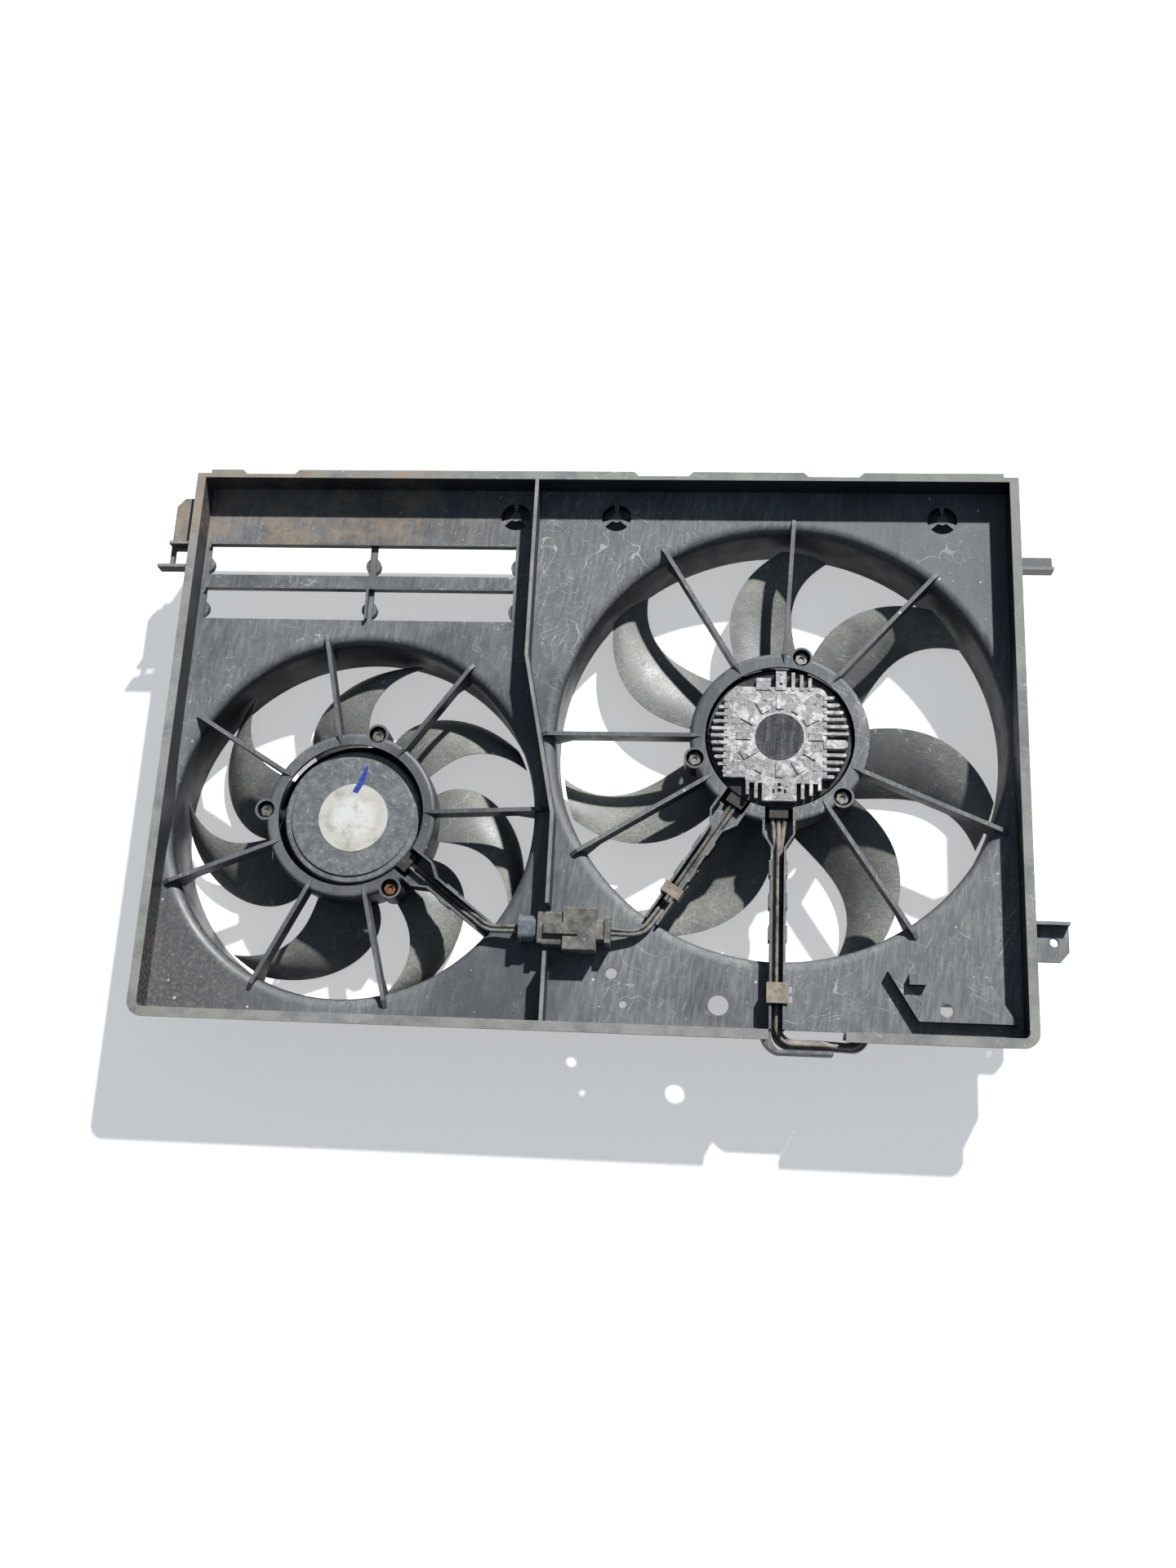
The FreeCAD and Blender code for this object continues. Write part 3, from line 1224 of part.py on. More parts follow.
def makeBrushes(fan):
    outer = fan + "Can - canWall"
    plate = newBody(fan + "BrushPlate")
    profile = sketchOn(plate, fan + "BrushPlateProfile", "XZ", axisOf(fan) + ("0",))
    top = "brushPlateFoot + brushPlateThick"
    outline(profile, (
        ("shaftRadius + 1.5", "brushPlateFoot"),
        (outer, "brushPlateFoot"),
        (outer, top),
        ("bearingRadius + 1.4", top),
        ("bearingRadius + 1.4", top + " + bearingHeight * 0.7"),
        ("bearingRadius", top + " + bearingHeight * 0.7"),
        ("bearingRadius", top),
        ("shaftRadius + 1.5", top),
    ))
    revolve(plate, profile)
    middle = "commutatorRadius + 1 + brushLength / 2"
    holder = sketchOn(plate, fan + "BrushHolder", at=axisOf(fan) + ("brushPlateFoot - brushHeight - 0.4",))
    block(holder, middle, "0", "brushLength", "brushWidth + 2.6")
    channel = sketchOn(plate, fan + "BrushChannel", at=axisOf(fan) + ("brushPlateFoot",))
    block(channel, middle + " - 0.6", "0", "brushLength + 1", "brushWidth")
    holders = pad(plate, holder, "brushHeight + 0.4")
    plate.Tip = polar(plate, holders, holder, "brushCount")
    channels = pocket(plate, channel, "brushHeight")
    polar(plate, channels, channel, "brushCount")
    keep(fan + "_brush_plate", plate)
    brush = newBody(fan + "Brush")
    face = sketchOn(brush, fan + "BrushFace", at=("0", "0", "brushPlateFoot - brushHeight"))
    block(face, "commutatorRadius + 0.3 + brushLength / 2", "0", "brushLength - 0.4", "brushWidth")
    pad(brush, face, "brushHeight")
    places = [(axisOf(fan) + ("0",), str(90 * turn)) for turn in range(4)]
    group(fan + "_brushes", brush, places)


def makeScrews(fan):
    screw = newBody(fan + "Screw")
    shank = sketchOn(screw, fan + "Shank", "XZ")
    outline(shank, (
        ("0", "screwTip"),
        ("screwRadius - 0.7", "screwTip"),
        ("screwRadius", "screwTip + 1"),
        ("screwRadius", "earFloor"),
        ("screwWasher", "earFloor"),
        ("screwWasher", "earFloor + 0.8"),
        ("screwHead", "earFloor + 1.4"),
        ("0", "earFloor + 1.4"),
    ))
    revolve(screw, shank)
    head = sketchOn(screw, fan + "Head", at=("0", "0", "earFloor + 1"))
    outline(head, [("screwHead * cos(%d)" % angle, "screwHead * sin(%d)" % angle)
                   for angle in range(0, 360, 60)])
    pad(screw, head, "screwHeadHeight")
    recess = sketchOn(screw, fan + "HeadRecess", at=("0", "0", "earFloor + 1 + screwHeadHeight"))
    circle(recess, "0", "0", "screwHead * 0.45")
    pocket(screw, recess, "screwHeadHeight * 0.35")
    places = [(earSpot(fan, letter) + ("0",), fan + "Ear" + letter) for letter in "ABC"]
    group(fan + "_motor_screws", screw, places)


# The lead enters the motor through a rubber block that fits round the housing.
def makeGrommet(node, fan, direction, housing, low):
    grommet = newBody(node)
    face = sketchOn(grommet, node + "Face", at=axisOf(fan) + (low,), turn=direction)
    block(face, housing + " + grommetLength / 2", "0", "grommetLength + 4", "grommetWidth")
    pad(grommet, face, "grommetHeight")
    hollow = sketchOn(grommet, node + "Hollow", at=axisOf(fan) + (low + " + grommetHeight",))
    circle(hollow, "0", "0", housing)
    pocket(grommet, hollow, "grommetHeight")
    keep(node, grommet)


def makeMotor(fan):
    makeCan(fan)
    makeBearing(fan + "_rear_bearing", fan, "canFoot + canWall")
    makeBearing(fan + "_front_bearing", fan, "brushPlateFoot + brushPlateThick")
    makeBracket(fan)
    makeMagnets(fan)
    makeBrushes(fan)
    makeScrews(fan)


# Small motor: a pressed cover over the can.
def makeCover():
    can = "smallCan"
    skirt = "smallCan + coverThick * 0.7"
    turned("small_motor_cover", "small", (
        ("0", "coverTop - coverThick"),
        (can + " - coverStep", "coverTop - coverThick"),
        (can + " - coverStep", "canTop"),
        (can, "canTop"),
        (can, "canTop - coverStep"),
        (skirt, "canTop - coverStep"),
        (skirt, "coverTop - 3.2"),
        (skirt + " - 2", "coverTop - 1.2", "2", 1),
        (can + " - coverStep + 1", "coverTop - 1.2"),
        (can + " - coverStep", "coverTop"),
        ("0", "coverTop"),
    ))


# Big motor: electronics housing, lid, seal and heat sink in front of the can.
def makeController():
    outer = "controllerRadius"
    turned("big_controller_housing", "big", (
        ("bearingRadius + 2.4", "canTop"),
        ("bigCan", "canTop"),
        ("bigCan", "canTop - coverStep"),
        (outer, "canTop - coverStep"),
        (outer, "controllerTop"),
        (outer + " - wall", "controllerTop"),
        (outer + " - wall", "canTop + 1.2"),
        ("bearingRadius + 2.4", "canTop + 1.2"),
    ))
    board = newBody("board")
    disc = sketchOn(board, "boardDisc", at=axisOf("big") + ("canTop + 1.2",))
    circle(disc, "0", "0", outer + " - wall - 0.6")
    circle(disc, "0", "0", "bearingRadius + 3")
    pad(board, disc, "boardThick")
    keep("big_controller_board", board)
    chip = newBody("chip")
    face = sketchOn(chip, "chipFace", at=("0", "0", "canTop + 1.2 + boardThick"))
    block(face, "chipReach", "0", "chipLength", "chipWidth")
    pad(chip, face, "controllerTop + lidThick - canTop - 1.2 - boardThick")
    places = [(axisOf("big") + ("0",), str(60 * turn)) for turn in range(6)]
    group("big_controller_transistors", chip, places)
    lid = newBody("lid")
    cover = sketchOn(lid, "lidCover", at=axisOf("big") + ("controllerTop",))
    circle(cover, "0", "0", outer)
    block(cover, "0", "0", "sinkWindow", "sinkWindow")
    pad(lid, cover, "lidThick")
    keep("big_controller_lid", lid)
    seal = newBody("seal")
    ring = sketchOn(seal, "sealRing", at=axisOf("big") + ("controllerTop + lidThick",))
    block(ring, "0", "0", "sinkWindow + 6", "sinkWindow + 6")
    block(ring, "0", "0", "sinkWindow", "sinkWindow")
    pad(seal, ring, "sealThick")
    keep("big_controller_seal", seal)


def makeHeatSink():
    foot = "controllerTop + lidThick + sealThick"
    sink = newBody("sink")
    plate = sketchOn(sink, "sinkPlateFace", at=axisOf("big") + (foot,))
    left, right, low, high = "sinkLeft", "sinkRight", "sinkLow", "sinkHigh"
    lowerFin = "sinkFoot / 2 + 3 * endFinPitch - 2 + finThick / 2"
    outline(plate, (
        (left, low + " + sinkStep"),
        (left + " + sinkNotch", low + " + sinkStep"),
        (left + " + sinkNotch", low),
        (lowerFin, low),
        (lowerFin, low + " + sinkStep"),
        (right, low + " + sinkStep"),
        (right, high + " - sinkRound"),
        (right + " - sinkRound", high, "sinkRound", 1),
        (left + " + sinkCut", high),
        (left, high + " - sinkCut"),
    ))
    pad(sink, plate, "sinkPlate")
    boss = sketchOn(sink, "sinkBoss", at=axisOf("big") + ("controllerTop + lidThick",))
    block(boss, "0", "0", "sinkWindow - 0.6", "sinkWindow - 0.6")
    pad(sink, boss, "sealThick + sinkPlate / 2")

    def reachAt(middle, half):
        return "sqrt(sinkReach ^ 2 - (abs(%s) + %s) ^ 2)" % (middle, half)

    # One fin with a round end: it starts inside the plate and ends on the trimming circle.
    def sideFin(sketch, sign, root, middle, width):
        half = "(%s) / 2" % width
        tip = "%s - %s" % (reachAt(middle, half), half)
        low, high = "%s - %s" % (middle, half), "%s + %s" % (middle, half)
        if sign > 0:
            outline(sketch, ((root, low), (tip, low), (tip, high, half + " * 1.05", 1), (root, high)))
        else:
            outline(sketch, ((root, high), ("-(%s)" % tip, high), ("-(%s)" % tip, low, half + " * 1.05", 1), (root, low)))

    fins = sketchOn(sink, "sinkFins", at=axisOf("big") + (foot,))
    for index in range(int(value("finsLeft"))):
        sideFin(fins, -1, "sinkLeft + finThick", "(%d - (finsLeft - 1) / 2) * finPitch" % index, "finThick")
    for index in range(int(value("finsRight"))):
        if index == 5:
            continue
        middle, width = "(%d - (finsRight - 1) / 2) * finPitch" % index, "finThick"
        if index == 4:
            middle, width = "(4.5 - (finsRight - 1) / 2) * finPitch", "finPitch + finThick / 2"
        sideFin(fins, 1, "sinkRight - finThick", middle, width)
    pad(sink, fins, "finHeight")
    ends = sketchOn(sink, "sinkEnds", at=axisOf("big") + (foot,))

    # A tab or fin that stands beyond the upper or lower edge of the plate.
    def endFin(middle, width, lower, reach=None):
        half = "(%s) / 2" % width
        reach = reach or reachAt(middle, half)
        first, last = "%s - %s" % (middle, half), "%s + %s" % (middle, half)
        if lower:
            rectangle(ends, first, "-(%s)" % reach, last, "sinkLow + finThick")
        else:
            rectangle(ends, first, "sinkHigh - finThick", last, reach)

    endFin("sinkTabX", "sinkTab", False)
    endFin("(shoulderLeft + shoulderRight) / 2", "shoulderRight - shoulderLeft", False, "shoulderHigh")
    endFin("0", "sinkFoot", True)
    for index in (1, 2, 3):
        endFin("sinkTabX + sinkTab / 2 + %d * endFinPitch - 1.2" % index, "finThick", False)
        endFin("sinkFoot / 2 + %d * endFinPitch - 2" % index, "finThick", True)
        if index < 3:
            endFin("-(sinkFoot / 2 + %d * endFinPitch - 2)" % index, "finThick", True)
    pad(sink, ends, "finHeight")
    disc = sketchOn(sink, "sinkDiscFace", at=axisOf("big") + (foot + " + sinkPlate / 2",))
    circle(disc, "0", "0", "sinkDisc")
    pad(sink, disc, "sinkPlate / 2 + sinkDiscHeight")
    ridge = sketchOn(sink, "sinkRidge", at=axisOf("big") + (foot + " + sinkPlate / 2",))
    block(ridge, "ridgeInner + ridgeLength / 2", "0", "ridgeLength", "ridgeThick")
    made = pad(sink, ridge, "sinkPlate / 2 + sinkDiscHeight")
    polar(sink, made, ridge, "ridgeCount")
    holes = sketchOn(sink, "sinkHoles", at=axisOf("big") + (foot + " + finHeight",))
    circle(holes, "0", "sinkHoleY", "sinkHole")
    circle(holes, "0", "sinkHoleY - sinkHoleStep", "sinkHole")
    for side in (-1, 1):
        block(holes, "%d * sinkHoleStep" % side, "sinkHoleY - sinkHoleStep * 1.2", "sinkHole", "sinkHole * 2.2")
    circle(holes, "sinkTabX", "sinkHigh + 2.6", "sinkHole * 0.8")
    pocket(sink, holes, "finHeight - 1")
    keep("big_heat_sink", sink)


# Link connector between the fans, along X on the plate in the gate of the centre rib.

def roundedBlock(sketch, across, along, width, height, radius):
    left, right = "%s - (%s) / 2" % (across, width), "%s + (%s) / 2" % (across, width)
    low, high = "%s - (%s) / 2" % (along, height), "%s + (%s) / 2" % (along, height)
    outline(sketch, (
        ("%s - %s" % (right, radius), low),
        (right, "%s + %s" % (low, radius), radius, 1),
        (right, "%s - %s" % (high, radius)),
        ("%s - %s" % (right, radius), high, radius, 1),
        ("%s + %s" % (left, radius), high),
        (left, "%s - %s" % (high, radius), radius, 1),
        (left, "%s + %s" % (low, radius)),
        ("%s + %s" % (left, radius), low, radius, 1),
    ))


def acrossBlock(body, name, start, length, depth, height, radius, middle=("linkY", "linkZ")):
    sketch = sketchOn(body, name, "YZ", (start, middle[0], middle[1]))
    roundedBlock(sketch, "0", "0", depth, height, radius)
    return pad(body, sketch, length)


def acrossCut(body, name, start, length, depth, height, radius, middle=("linkY", "linkZ")):
    sketch = sketchOn(body, name, "YZ", (start + " + " + length, middle[0], middle[1]))
    roundedBlock(sketch, "0", "0", depth, height, radius)
    return pocket(body, sketch, length)


def makeLinkConnector():
    seal = newBody("linkSeal")
    acrossBlock(seal, "sealLipFace", "sealFoot", "sealLip", "sealRadius * 2", "socketHeight",
                "linkRound * 3")
    acrossBlock(seal, "sealBodyFace", "sealFoot + sealLip", "plugFoot - sealFoot - sealLip - sealNeck",
                "sealRadius * 2 - 1.6", "socketHeight - 1.6", "linkRound * 3")
    acrossBlock(seal, "sealNeckFace", "plugFoot - sealNeck", "sealNeck", "sealRadius * 1.5",
                "socketHeight * 0.7", "linkRound * 2")
    keep("link_seal_boot", seal)
    plug = newBody("linkPlug")
    acrossBlock(plug, "plugFlangeFace", "plugFoot", "plugFlange", "plugFlangeRadius * 2",
                "socketHeight", "linkRound")
    acrossBlock(plug, "plugBodyFace", "plugFoot + plugFlange", "socketFoot - plugFoot - plugFlange",
                "plugDepth", "socketHeight - 4", "linkRound")
    acrossBlock(plug, "plugTongue", "socketFoot - 1", "tongueLength", "plugDepth - 6", "socketHeight - 8",
                "linkRound")
    keep("link_plug", plug)
    socket = newBody("linkSocket")
    acrossBlock(socket, "socketBodyFace", "socketFoot", "socketLength", "socketDepth", "socketHeight",
                "linkRound")
    acrossBlock(socket, "socketCollarFace", "socketFoot + socketLength", "collarLength * 0.6",
                "collarDepth - 6", "socketHeight - 6", "linkRound")
    acrossBlock(socket, "socketFlangeFace", "socketFoot + socketLength + collarLength * 0.6",
                "collarLength * 0.4", "collarDepth", "socketHeight - 3", "linkRound")
    acrossCut(socket, "socketHollow", "socketFoot", "tongueLength", "plugDepth - 5.6",
              "socketHeight - 7.6", "linkRound")
    keep("link_socket", socket)
    lock = newBody("linkLock")
    side = sketchOn(lock, "lockSide", "XZ", ("0", "linkY", "0"))
    top = "linkZ + socketHeight / 2"
    outline(side, (
        ("plugFoot + plugFlange + 1", top + " - 2"),
        ("socketFoot", top + " - 2"),
        ("socketFoot", top),
        ("socketFoot + 12", top),
        ("socketFoot + 12", top + " + 1.4"),
        ("plugFoot + plugFlange + 1", top + " + 1.4"),
    ))
    pad(lock, side, "9", symmetric=True)
    keep("link_lock", lock)


def makeSupplyConnector():
    plug = newBody("supplyPlug")
    middle = ("supplyPlugY", "plateTop + fieldHeight - wall - supplyPlugHeight / 2")
    acrossBlock(plug, "supplyBodyFace", "supplyPlugX", "supplyPlugLength", "supplyPlugDepth",
                "supplyPlugHeight", "linkRound", middle)
    acrossCut(plug, "supplyHollow", "supplyPlugX + supplyPlugLength * 0.45", "supplyPlugLength * 0.55",
              "supplyPlugDepth - 4", "supplyPlugHeight - 4", "linkRound", middle)
    keep("supply_connector", plug)


# Clips straddle a trough: a channel section turned upside down.
def makeClip(node, fan, direction, reach, length, foot):
    clip = newBody(node)
    outer = sketchOn(clip, node + "Outer", at=axisOf(fan) + (foot,), turn=direction)
    block(outer, reach, "0", length, "clipWidth")
    pad(clip, outer, "strutTop + clipWall - (%s)" % foot)
    inner = sketchOn(clip, node + "Inner", at=axisOf(fan) + ("strutTop",), turn=direction)
    block(inner, reach, "0", length + " * 2", "clipWidth - 2 * clipWall")
    pocket(clip, inner, "strutTop - (%s)" % foot)
    keep(node, clip)


# Leads

# A tube along straight runs joined by tangent arcs; each point after the first and before the last
# is a corner, rounded as widely as the shorter run beside it allows.
def leadWire(points, widest):
    edges = []
    here = points[0]
    for index in range(1, len(points) - 1):
        before, corner, after = points[index - 1], points[index], points[index + 1]
        into, out = (corner - before).normalize(), (after - corner).normalize()
        turn = into.getAngle(out)
        if turn < 0.002:
            continue
        shorter = min((corner - before).Length, (after - corner).Length)
        trim = min(0.45 * shorter, widest * math.tan(turn / 2))
        radius = trim / math.tan(turn / 2)
        begin, finish = corner - into * trim, corner + out * trim
        inward = (out - into).normalize()
        centre = corner + inward * (radius / math.cos(turn / 2))
        middle = centre - inward * radius
        edges.append(Part.makeLine(here, begin))
        edges.append(Part.Arc(begin, middle, finish).toShape())
        here = finish
    edges.append(Part.makeLine(here, points[-1]))
    return Part.Wire(edges)


def leadTube(name, points, radius, widest):
    path = leadWire(points, widest)
    start = (points[1] - points[0]).normalize()
    section = Part.Wire([Part.makeCircle(radius, points[0], start)])
    tube = doc.addObject("Part::Feature", name)
    tube.Shape = path.makePipeShell([section], True, True)
    print(name, "length", round(path.Length, 1))
    return tube


def spot(across, along, height):
    return Vector(value(across), value(along), value(height))


# A point in a trough: distance from the motor axis, sideways offset and height.
def troughSpot(fan, direction, reach, side, height):
    angle = math.radians(value(direction))
    outward = Vector(math.cos(angle), math.sin(angle), 0)
    across = Vector(outward.y, -outward.x, 0)
    place = spot(fan + "X", fan + "Y", height)
    return place + outward * value(reach) + across * value(side)


# Three wires: a pair on the trough floor and one above them.
def makeSupplyLead():
    rest = "troughFoot + troughWall + leadGap + supplyRadius"
    low = "rimCentreY - rimHeight / 2 - guideReach + wall + 1.2 + supplyRadius + supplySpread"
    wires = []
    for index, (side, lift) in enumerate(((-1, "0"), (1, "0"), (0, "supplyRadius * 1.72"))):
        shift = "%d * supplySpread" % side
        start = "controllerRadius + grommetLength + 2"
        points = [
            troughSpot("big", "supplyTrough", start, "%d * supplyFan" % -side, rest + " + 1.2"),
            troughSpot("big", "supplyTrough", start + " + 4", "%d * supplyFan" % -side, rest + " + 1.2"),
            troughSpot("big", "supplyTrough", "bigRingOuter + mouthRun + mouthTaper", "-(%s)" % shift, rest + " + " + lift),
            spot("bigX + " + shift, low + " + " + shift, rest + " + " + lift),
            spot("bigX + 36", low + " + " + shift, rest + " + " + lift),
            spot("bigX + 68 - (%s)" % shift, low + " + " + shift, "troughFoot - 6.2 + " + lift),
            spot("bigX + 68 - (%s)" % shift, "supplyPlugY + " + shift, "supplyEntry - 1.6 + " + lift),
            spot("supplyPlugX", "supplyPlugY + " + shift, "supplyEntry - 1.6 + " + lift),
        ]
        wires.append(leadTube("supplyWire%d" % index, points, value("supplyRadius"), 12))
    gathered = doc.addObject("Part::Compound", "supplyWires")
    gathered.Links = wires
    keep("supply_lead", gathered)


def makeLinkLead():
    rest = "troughFoot + troughWall + leadGap + wireRadius"
    wires = []
    for index, side in enumerate((-1, 1)):
        offset = "%d * wireSpread" % side
        points = [
            spot("socketFoot + socketLength + collarLength", "linkY + " + offset, "linkZ"),
            troughSpot("big", "linkTrough", "linkReach", offset, "plateTop + 4"),
            troughSpot("big", "linkTrough", "bigThroat - 22", offset, rest),
            troughSpot("big", "linkTrough", "controllerRadius + grommetLength + 2", offset, rest),
        ]
        wires.append(leadTube("linkWire%d" % index, points, value("wireRadius"), 20))
    gathered = doc.addObject("Part::Compound", "linkWires")
    gathered.Links = wires
    keep("link_lead", gathered)


def makeSmallLead():
    rest = "troughFoot + troughWall + leadGap + wireRadius"
    wires = []
    for index, side in enumerate((-1, 1)):
        offset = "%d * wireSpread" % side
        points = [
            troughSpot("small", "smallTrough", "smallCan + coverThick * 0.7 + grommetLength + 2", offset, rest),
            troughSpot("small", "smallTrough", "smallThroat - 42", offset, rest),
            troughSpot("small", "smallTrough", "smallExit", offset, "strutTop + 3"),
            spot("sealFoot", "linkY - " + offset, "linkZ"),
        ]
        wires.append(leadTube("smallWire%d" % index, points, value("wireRadius"), 20))
    gathered = doc.addObject("Part::Compound", "smallWires")
    gathered.Links = wires
    keep("small_motor_lead", gathered)


for fan in fanUnits:
    makeFan(fan)
    makeRotor(fan)
    makeMotor(fan)
makeCover()
makeController()
makeHeatSink()
makeLinkConnector()
makeSupplyConnector()
makeClip("link_lead_clip", "big", "linkTrough", "linkClipReach", "linkClipLength", "troughFoot + 3")
makeClip("supply_lead_clip", "big", "supplyTrough", "supplyClipReach", "supplyClipLength", "plateTop")
makeGrommet("big_supply_grommet", "big", "supplyTrough", "controllerRadius", "supplyGrommetLow")
makeGrommet("big_link_grommet", "big", "linkTrough", "controllerRadius", "wireGrommetLow")
makeGrommet("small_lead_grommet", "small", "smallTrough", "smallCan + coverThick * 0.7", "wireGrommetLow")
makeSupplyLead()
makeLinkLead()
makeSmallLead()
doc.recompute()

broken = [thing.Name for thing in doc.Objects if "Invalid" in thing.State or "Error" in thing.State]
if broken:
    raise RuntimeError("objects in error: " + ", ".join(broken))
os.makedirs("parts", exist_ok=True)
for node, thing in subParts.items():
    if thing.Shape.isNull() or not thing.Shape.isValid():
        raise RuntimeError("bad shape: " + node)
    thing.Shape.exportStep("parts/%s.step" % node)
    print(node, len(thing.Shape.Solids), round(thing.Shape.Volume))
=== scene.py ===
import bpy
import bmesh
import json
import math
from mathutils import Matrix, Vector


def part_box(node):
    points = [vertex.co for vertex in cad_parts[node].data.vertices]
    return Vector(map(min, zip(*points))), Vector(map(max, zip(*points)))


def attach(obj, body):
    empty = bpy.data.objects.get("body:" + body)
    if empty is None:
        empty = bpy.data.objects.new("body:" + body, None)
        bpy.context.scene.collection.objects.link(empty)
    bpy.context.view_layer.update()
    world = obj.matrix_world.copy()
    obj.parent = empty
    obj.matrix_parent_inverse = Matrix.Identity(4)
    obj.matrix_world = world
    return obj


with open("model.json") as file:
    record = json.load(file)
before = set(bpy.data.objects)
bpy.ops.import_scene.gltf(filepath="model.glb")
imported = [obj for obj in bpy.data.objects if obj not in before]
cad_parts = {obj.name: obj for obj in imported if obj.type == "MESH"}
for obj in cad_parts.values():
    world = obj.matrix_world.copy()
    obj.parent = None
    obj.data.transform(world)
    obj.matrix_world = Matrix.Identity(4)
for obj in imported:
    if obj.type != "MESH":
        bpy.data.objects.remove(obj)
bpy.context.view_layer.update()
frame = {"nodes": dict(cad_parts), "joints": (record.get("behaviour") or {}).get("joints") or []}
nodes = frame["nodes"]
shroudBody = "shroud_body"
print("stage: frame loaded with", len(nodes), "nodes")


# Node material helpers

def newMaterial(name):
    material = bpy.data.materials.new(name)
    material.use_nodes = True
    tree = material.node_tree
    tree.nodes.clear()
    output = tree.nodes.new("ShaderNodeOutputMaterial")
    shader = tree.nodes.new("ShaderNodeBsdfPrincipled")
    tree.links.new(shader.outputs[0], output.inputs[0])
    return material, tree, shader


# Object coordinates, first turned about Z and then stretched.
def place(tree, scale=(1, 1, 1), turn=0.0):
    where = tree.nodes.new("ShaderNodeTexCoord").outputs["Object"]
    if turn:
        turned = tree.nodes.new("ShaderNodeMapping")
        turned.inputs["Rotation"].default_value = (0, 0, turn)
        tree.links.new(where, turned.inputs["Vector"])
        where = turned.outputs[0]
    if scale != (1, 1, 1):
        stretched = tree.nodes.new("ShaderNodeMapping")
        stretched.inputs["Scale"].default_value = scale
        tree.links.new(where, stretched.inputs["Vector"])
        where = stretched.outputs[0]
    return where


def noise(tree, scale, detail=4, rough=0.55, where=None, distortion=0.0):
    texture = tree.nodes.new("ShaderNodeTexNoise")
    texture.inputs["Scale"].default_value = scale
    texture.inputs["Detail"].default_value = detail
    texture.inputs["Roughness"].default_value = rough
    texture.inputs["Distortion"].default_value = distortion
    tree.links.new(where or place(tree), texture.inputs["Vector"])
    return texture.outputs["Fac"]


def ramp(tree, value, low, high, bottom=0.0, top=1.0):
    span = tree.nodes.new("ShaderNodeMapRange")
    span.interpolation_type = "SMOOTHSTEP"
    span.inputs["From Min"].default_value = low
    span.inputs["From Max"].default_value = high
    span.inputs["To Min"].default_value = bottom
    span.inputs["To Max"].default_value = top
    tree.links.new(value, span.inputs["Value"])
    return span.outputs["Result"]


# One step of arithmetic on sockets or plain numbers.
def sums(tree, kind, first, second):
    node = tree.nodes.new("ShaderNodeMath")
    node.operation = kind
    for socket, value in zip(node.inputs, (first, second)):
        if isinstance(value, (int, float)):
            socket.default_value = value
        else:
            tree.links.new(value, socket)
    return node.outputs[0]


def blendColour(tree, amount, first, second):
    mix = tree.nodes.new("ShaderNodeMix")
    mix.data_type = "RGBA"
    for socket, value in ((mix.inputs[0], amount), (mix.inputs[6], first), (mix.inputs[7], second)):
        if isinstance(value, (int, float)):
            socket.default_value = value
        elif isinstance(value, tuple):
            socket.default_value = (*value, 1)
        else:
            tree.links.new(value, socket)
    return mix.outputs[2]


def bump(tree, shader, height, strength, distance):
    node = tree.nodes.new("ShaderNodeBump")
    node.inputs["Strength"].default_value = strength
    node.inputs["Distance"].default_value = distance
    tree.links.new(height, node.inputs["Height"])
    tree.links.new(node.outputs[0], shader.inputs["Normal"])


# Height or place along one axis of the object.
def axisValue(tree, axis):
    parts = tree.nodes.new("ShaderNodeSeparateXYZ")
    tree.links.new(place(tree), parts.inputs[0])
    return parts.outputs[axis]


# How far a surface looks upwards.
def facing(tree):
    geometry = tree.nodes.new("ShaderNodeNewGeometry")
    parts = tree.nodes.new("ShaderNodeSeparateXYZ")
    tree.links.new(geometry.outputs["Normal"], parts.inputs[0])
    return parts.outputs[2]


# Soft round spot about a point of the object, in metres.
def spotAt(tree, centre, inner, outer):
    distance = tree.nodes.new("ShaderNodeVectorMath")
    distance.operation = "DISTANCE"
    distance.inputs[1].default_value = centre
    tree.links.new(place(tree), distance.inputs[0])
    return ramp(tree, distance.outputs["Value"], inner, outer, 1.0, 0.0)


# Thin pale scratches: noise drawn out along one direction, kept only where it peaks.
def scratches(tree, turn, scale=46, low=0.66, high=0.71):
    where = place(tree, (1, 22, 6), turn)
    return ramp(tree, noise(tree, scale, 2, 0.4, where), low, high)


# Hair-thin curling scratches along the level lines of a noise.
def hairs(tree, scale, thin, distortion=1.2):
    level = sums(tree, "SUBTRACT", noise(tree, scale, 1.5, 0.5, distortion=distortion), 0.5)
    return ramp(tree, sums(tree, "ABSOLUTE", level, 0.0), thin * 0.4, thin, 1.0, 0.0)


# Soft streaks of dust along a direction.
def streaks(tree, turn, scale, low, high):
    where = place(tree, (1, 0.13, 1), turn)
    return ramp(tree, noise(tree, scale, 5, 0.68, where), low, high)


# Small round specks in a share of the cells.
def dots(tree, scale, size, share):
    cells = tree.nodes.new("ShaderNodeTexVoronoi")
    cells.inputs["Scale"].default_value = scale
    tree.links.new(place(tree), cells.inputs["Vector"])
    spot = ramp(tree, cells.outputs["Distance"], size * 0.5, size, 1.0, 0.0)
    parts = tree.nodes.new("ShaderNodeSeparateXYZ")
    tree.links.new(cells.outputs["Color"], parts.inputs[0])
    chosen = ramp(tree, parts.outputs[0], 1 - share, 1 - share + 0.02)
    return sums(tree, "MULTIPLY", spot, chosen)


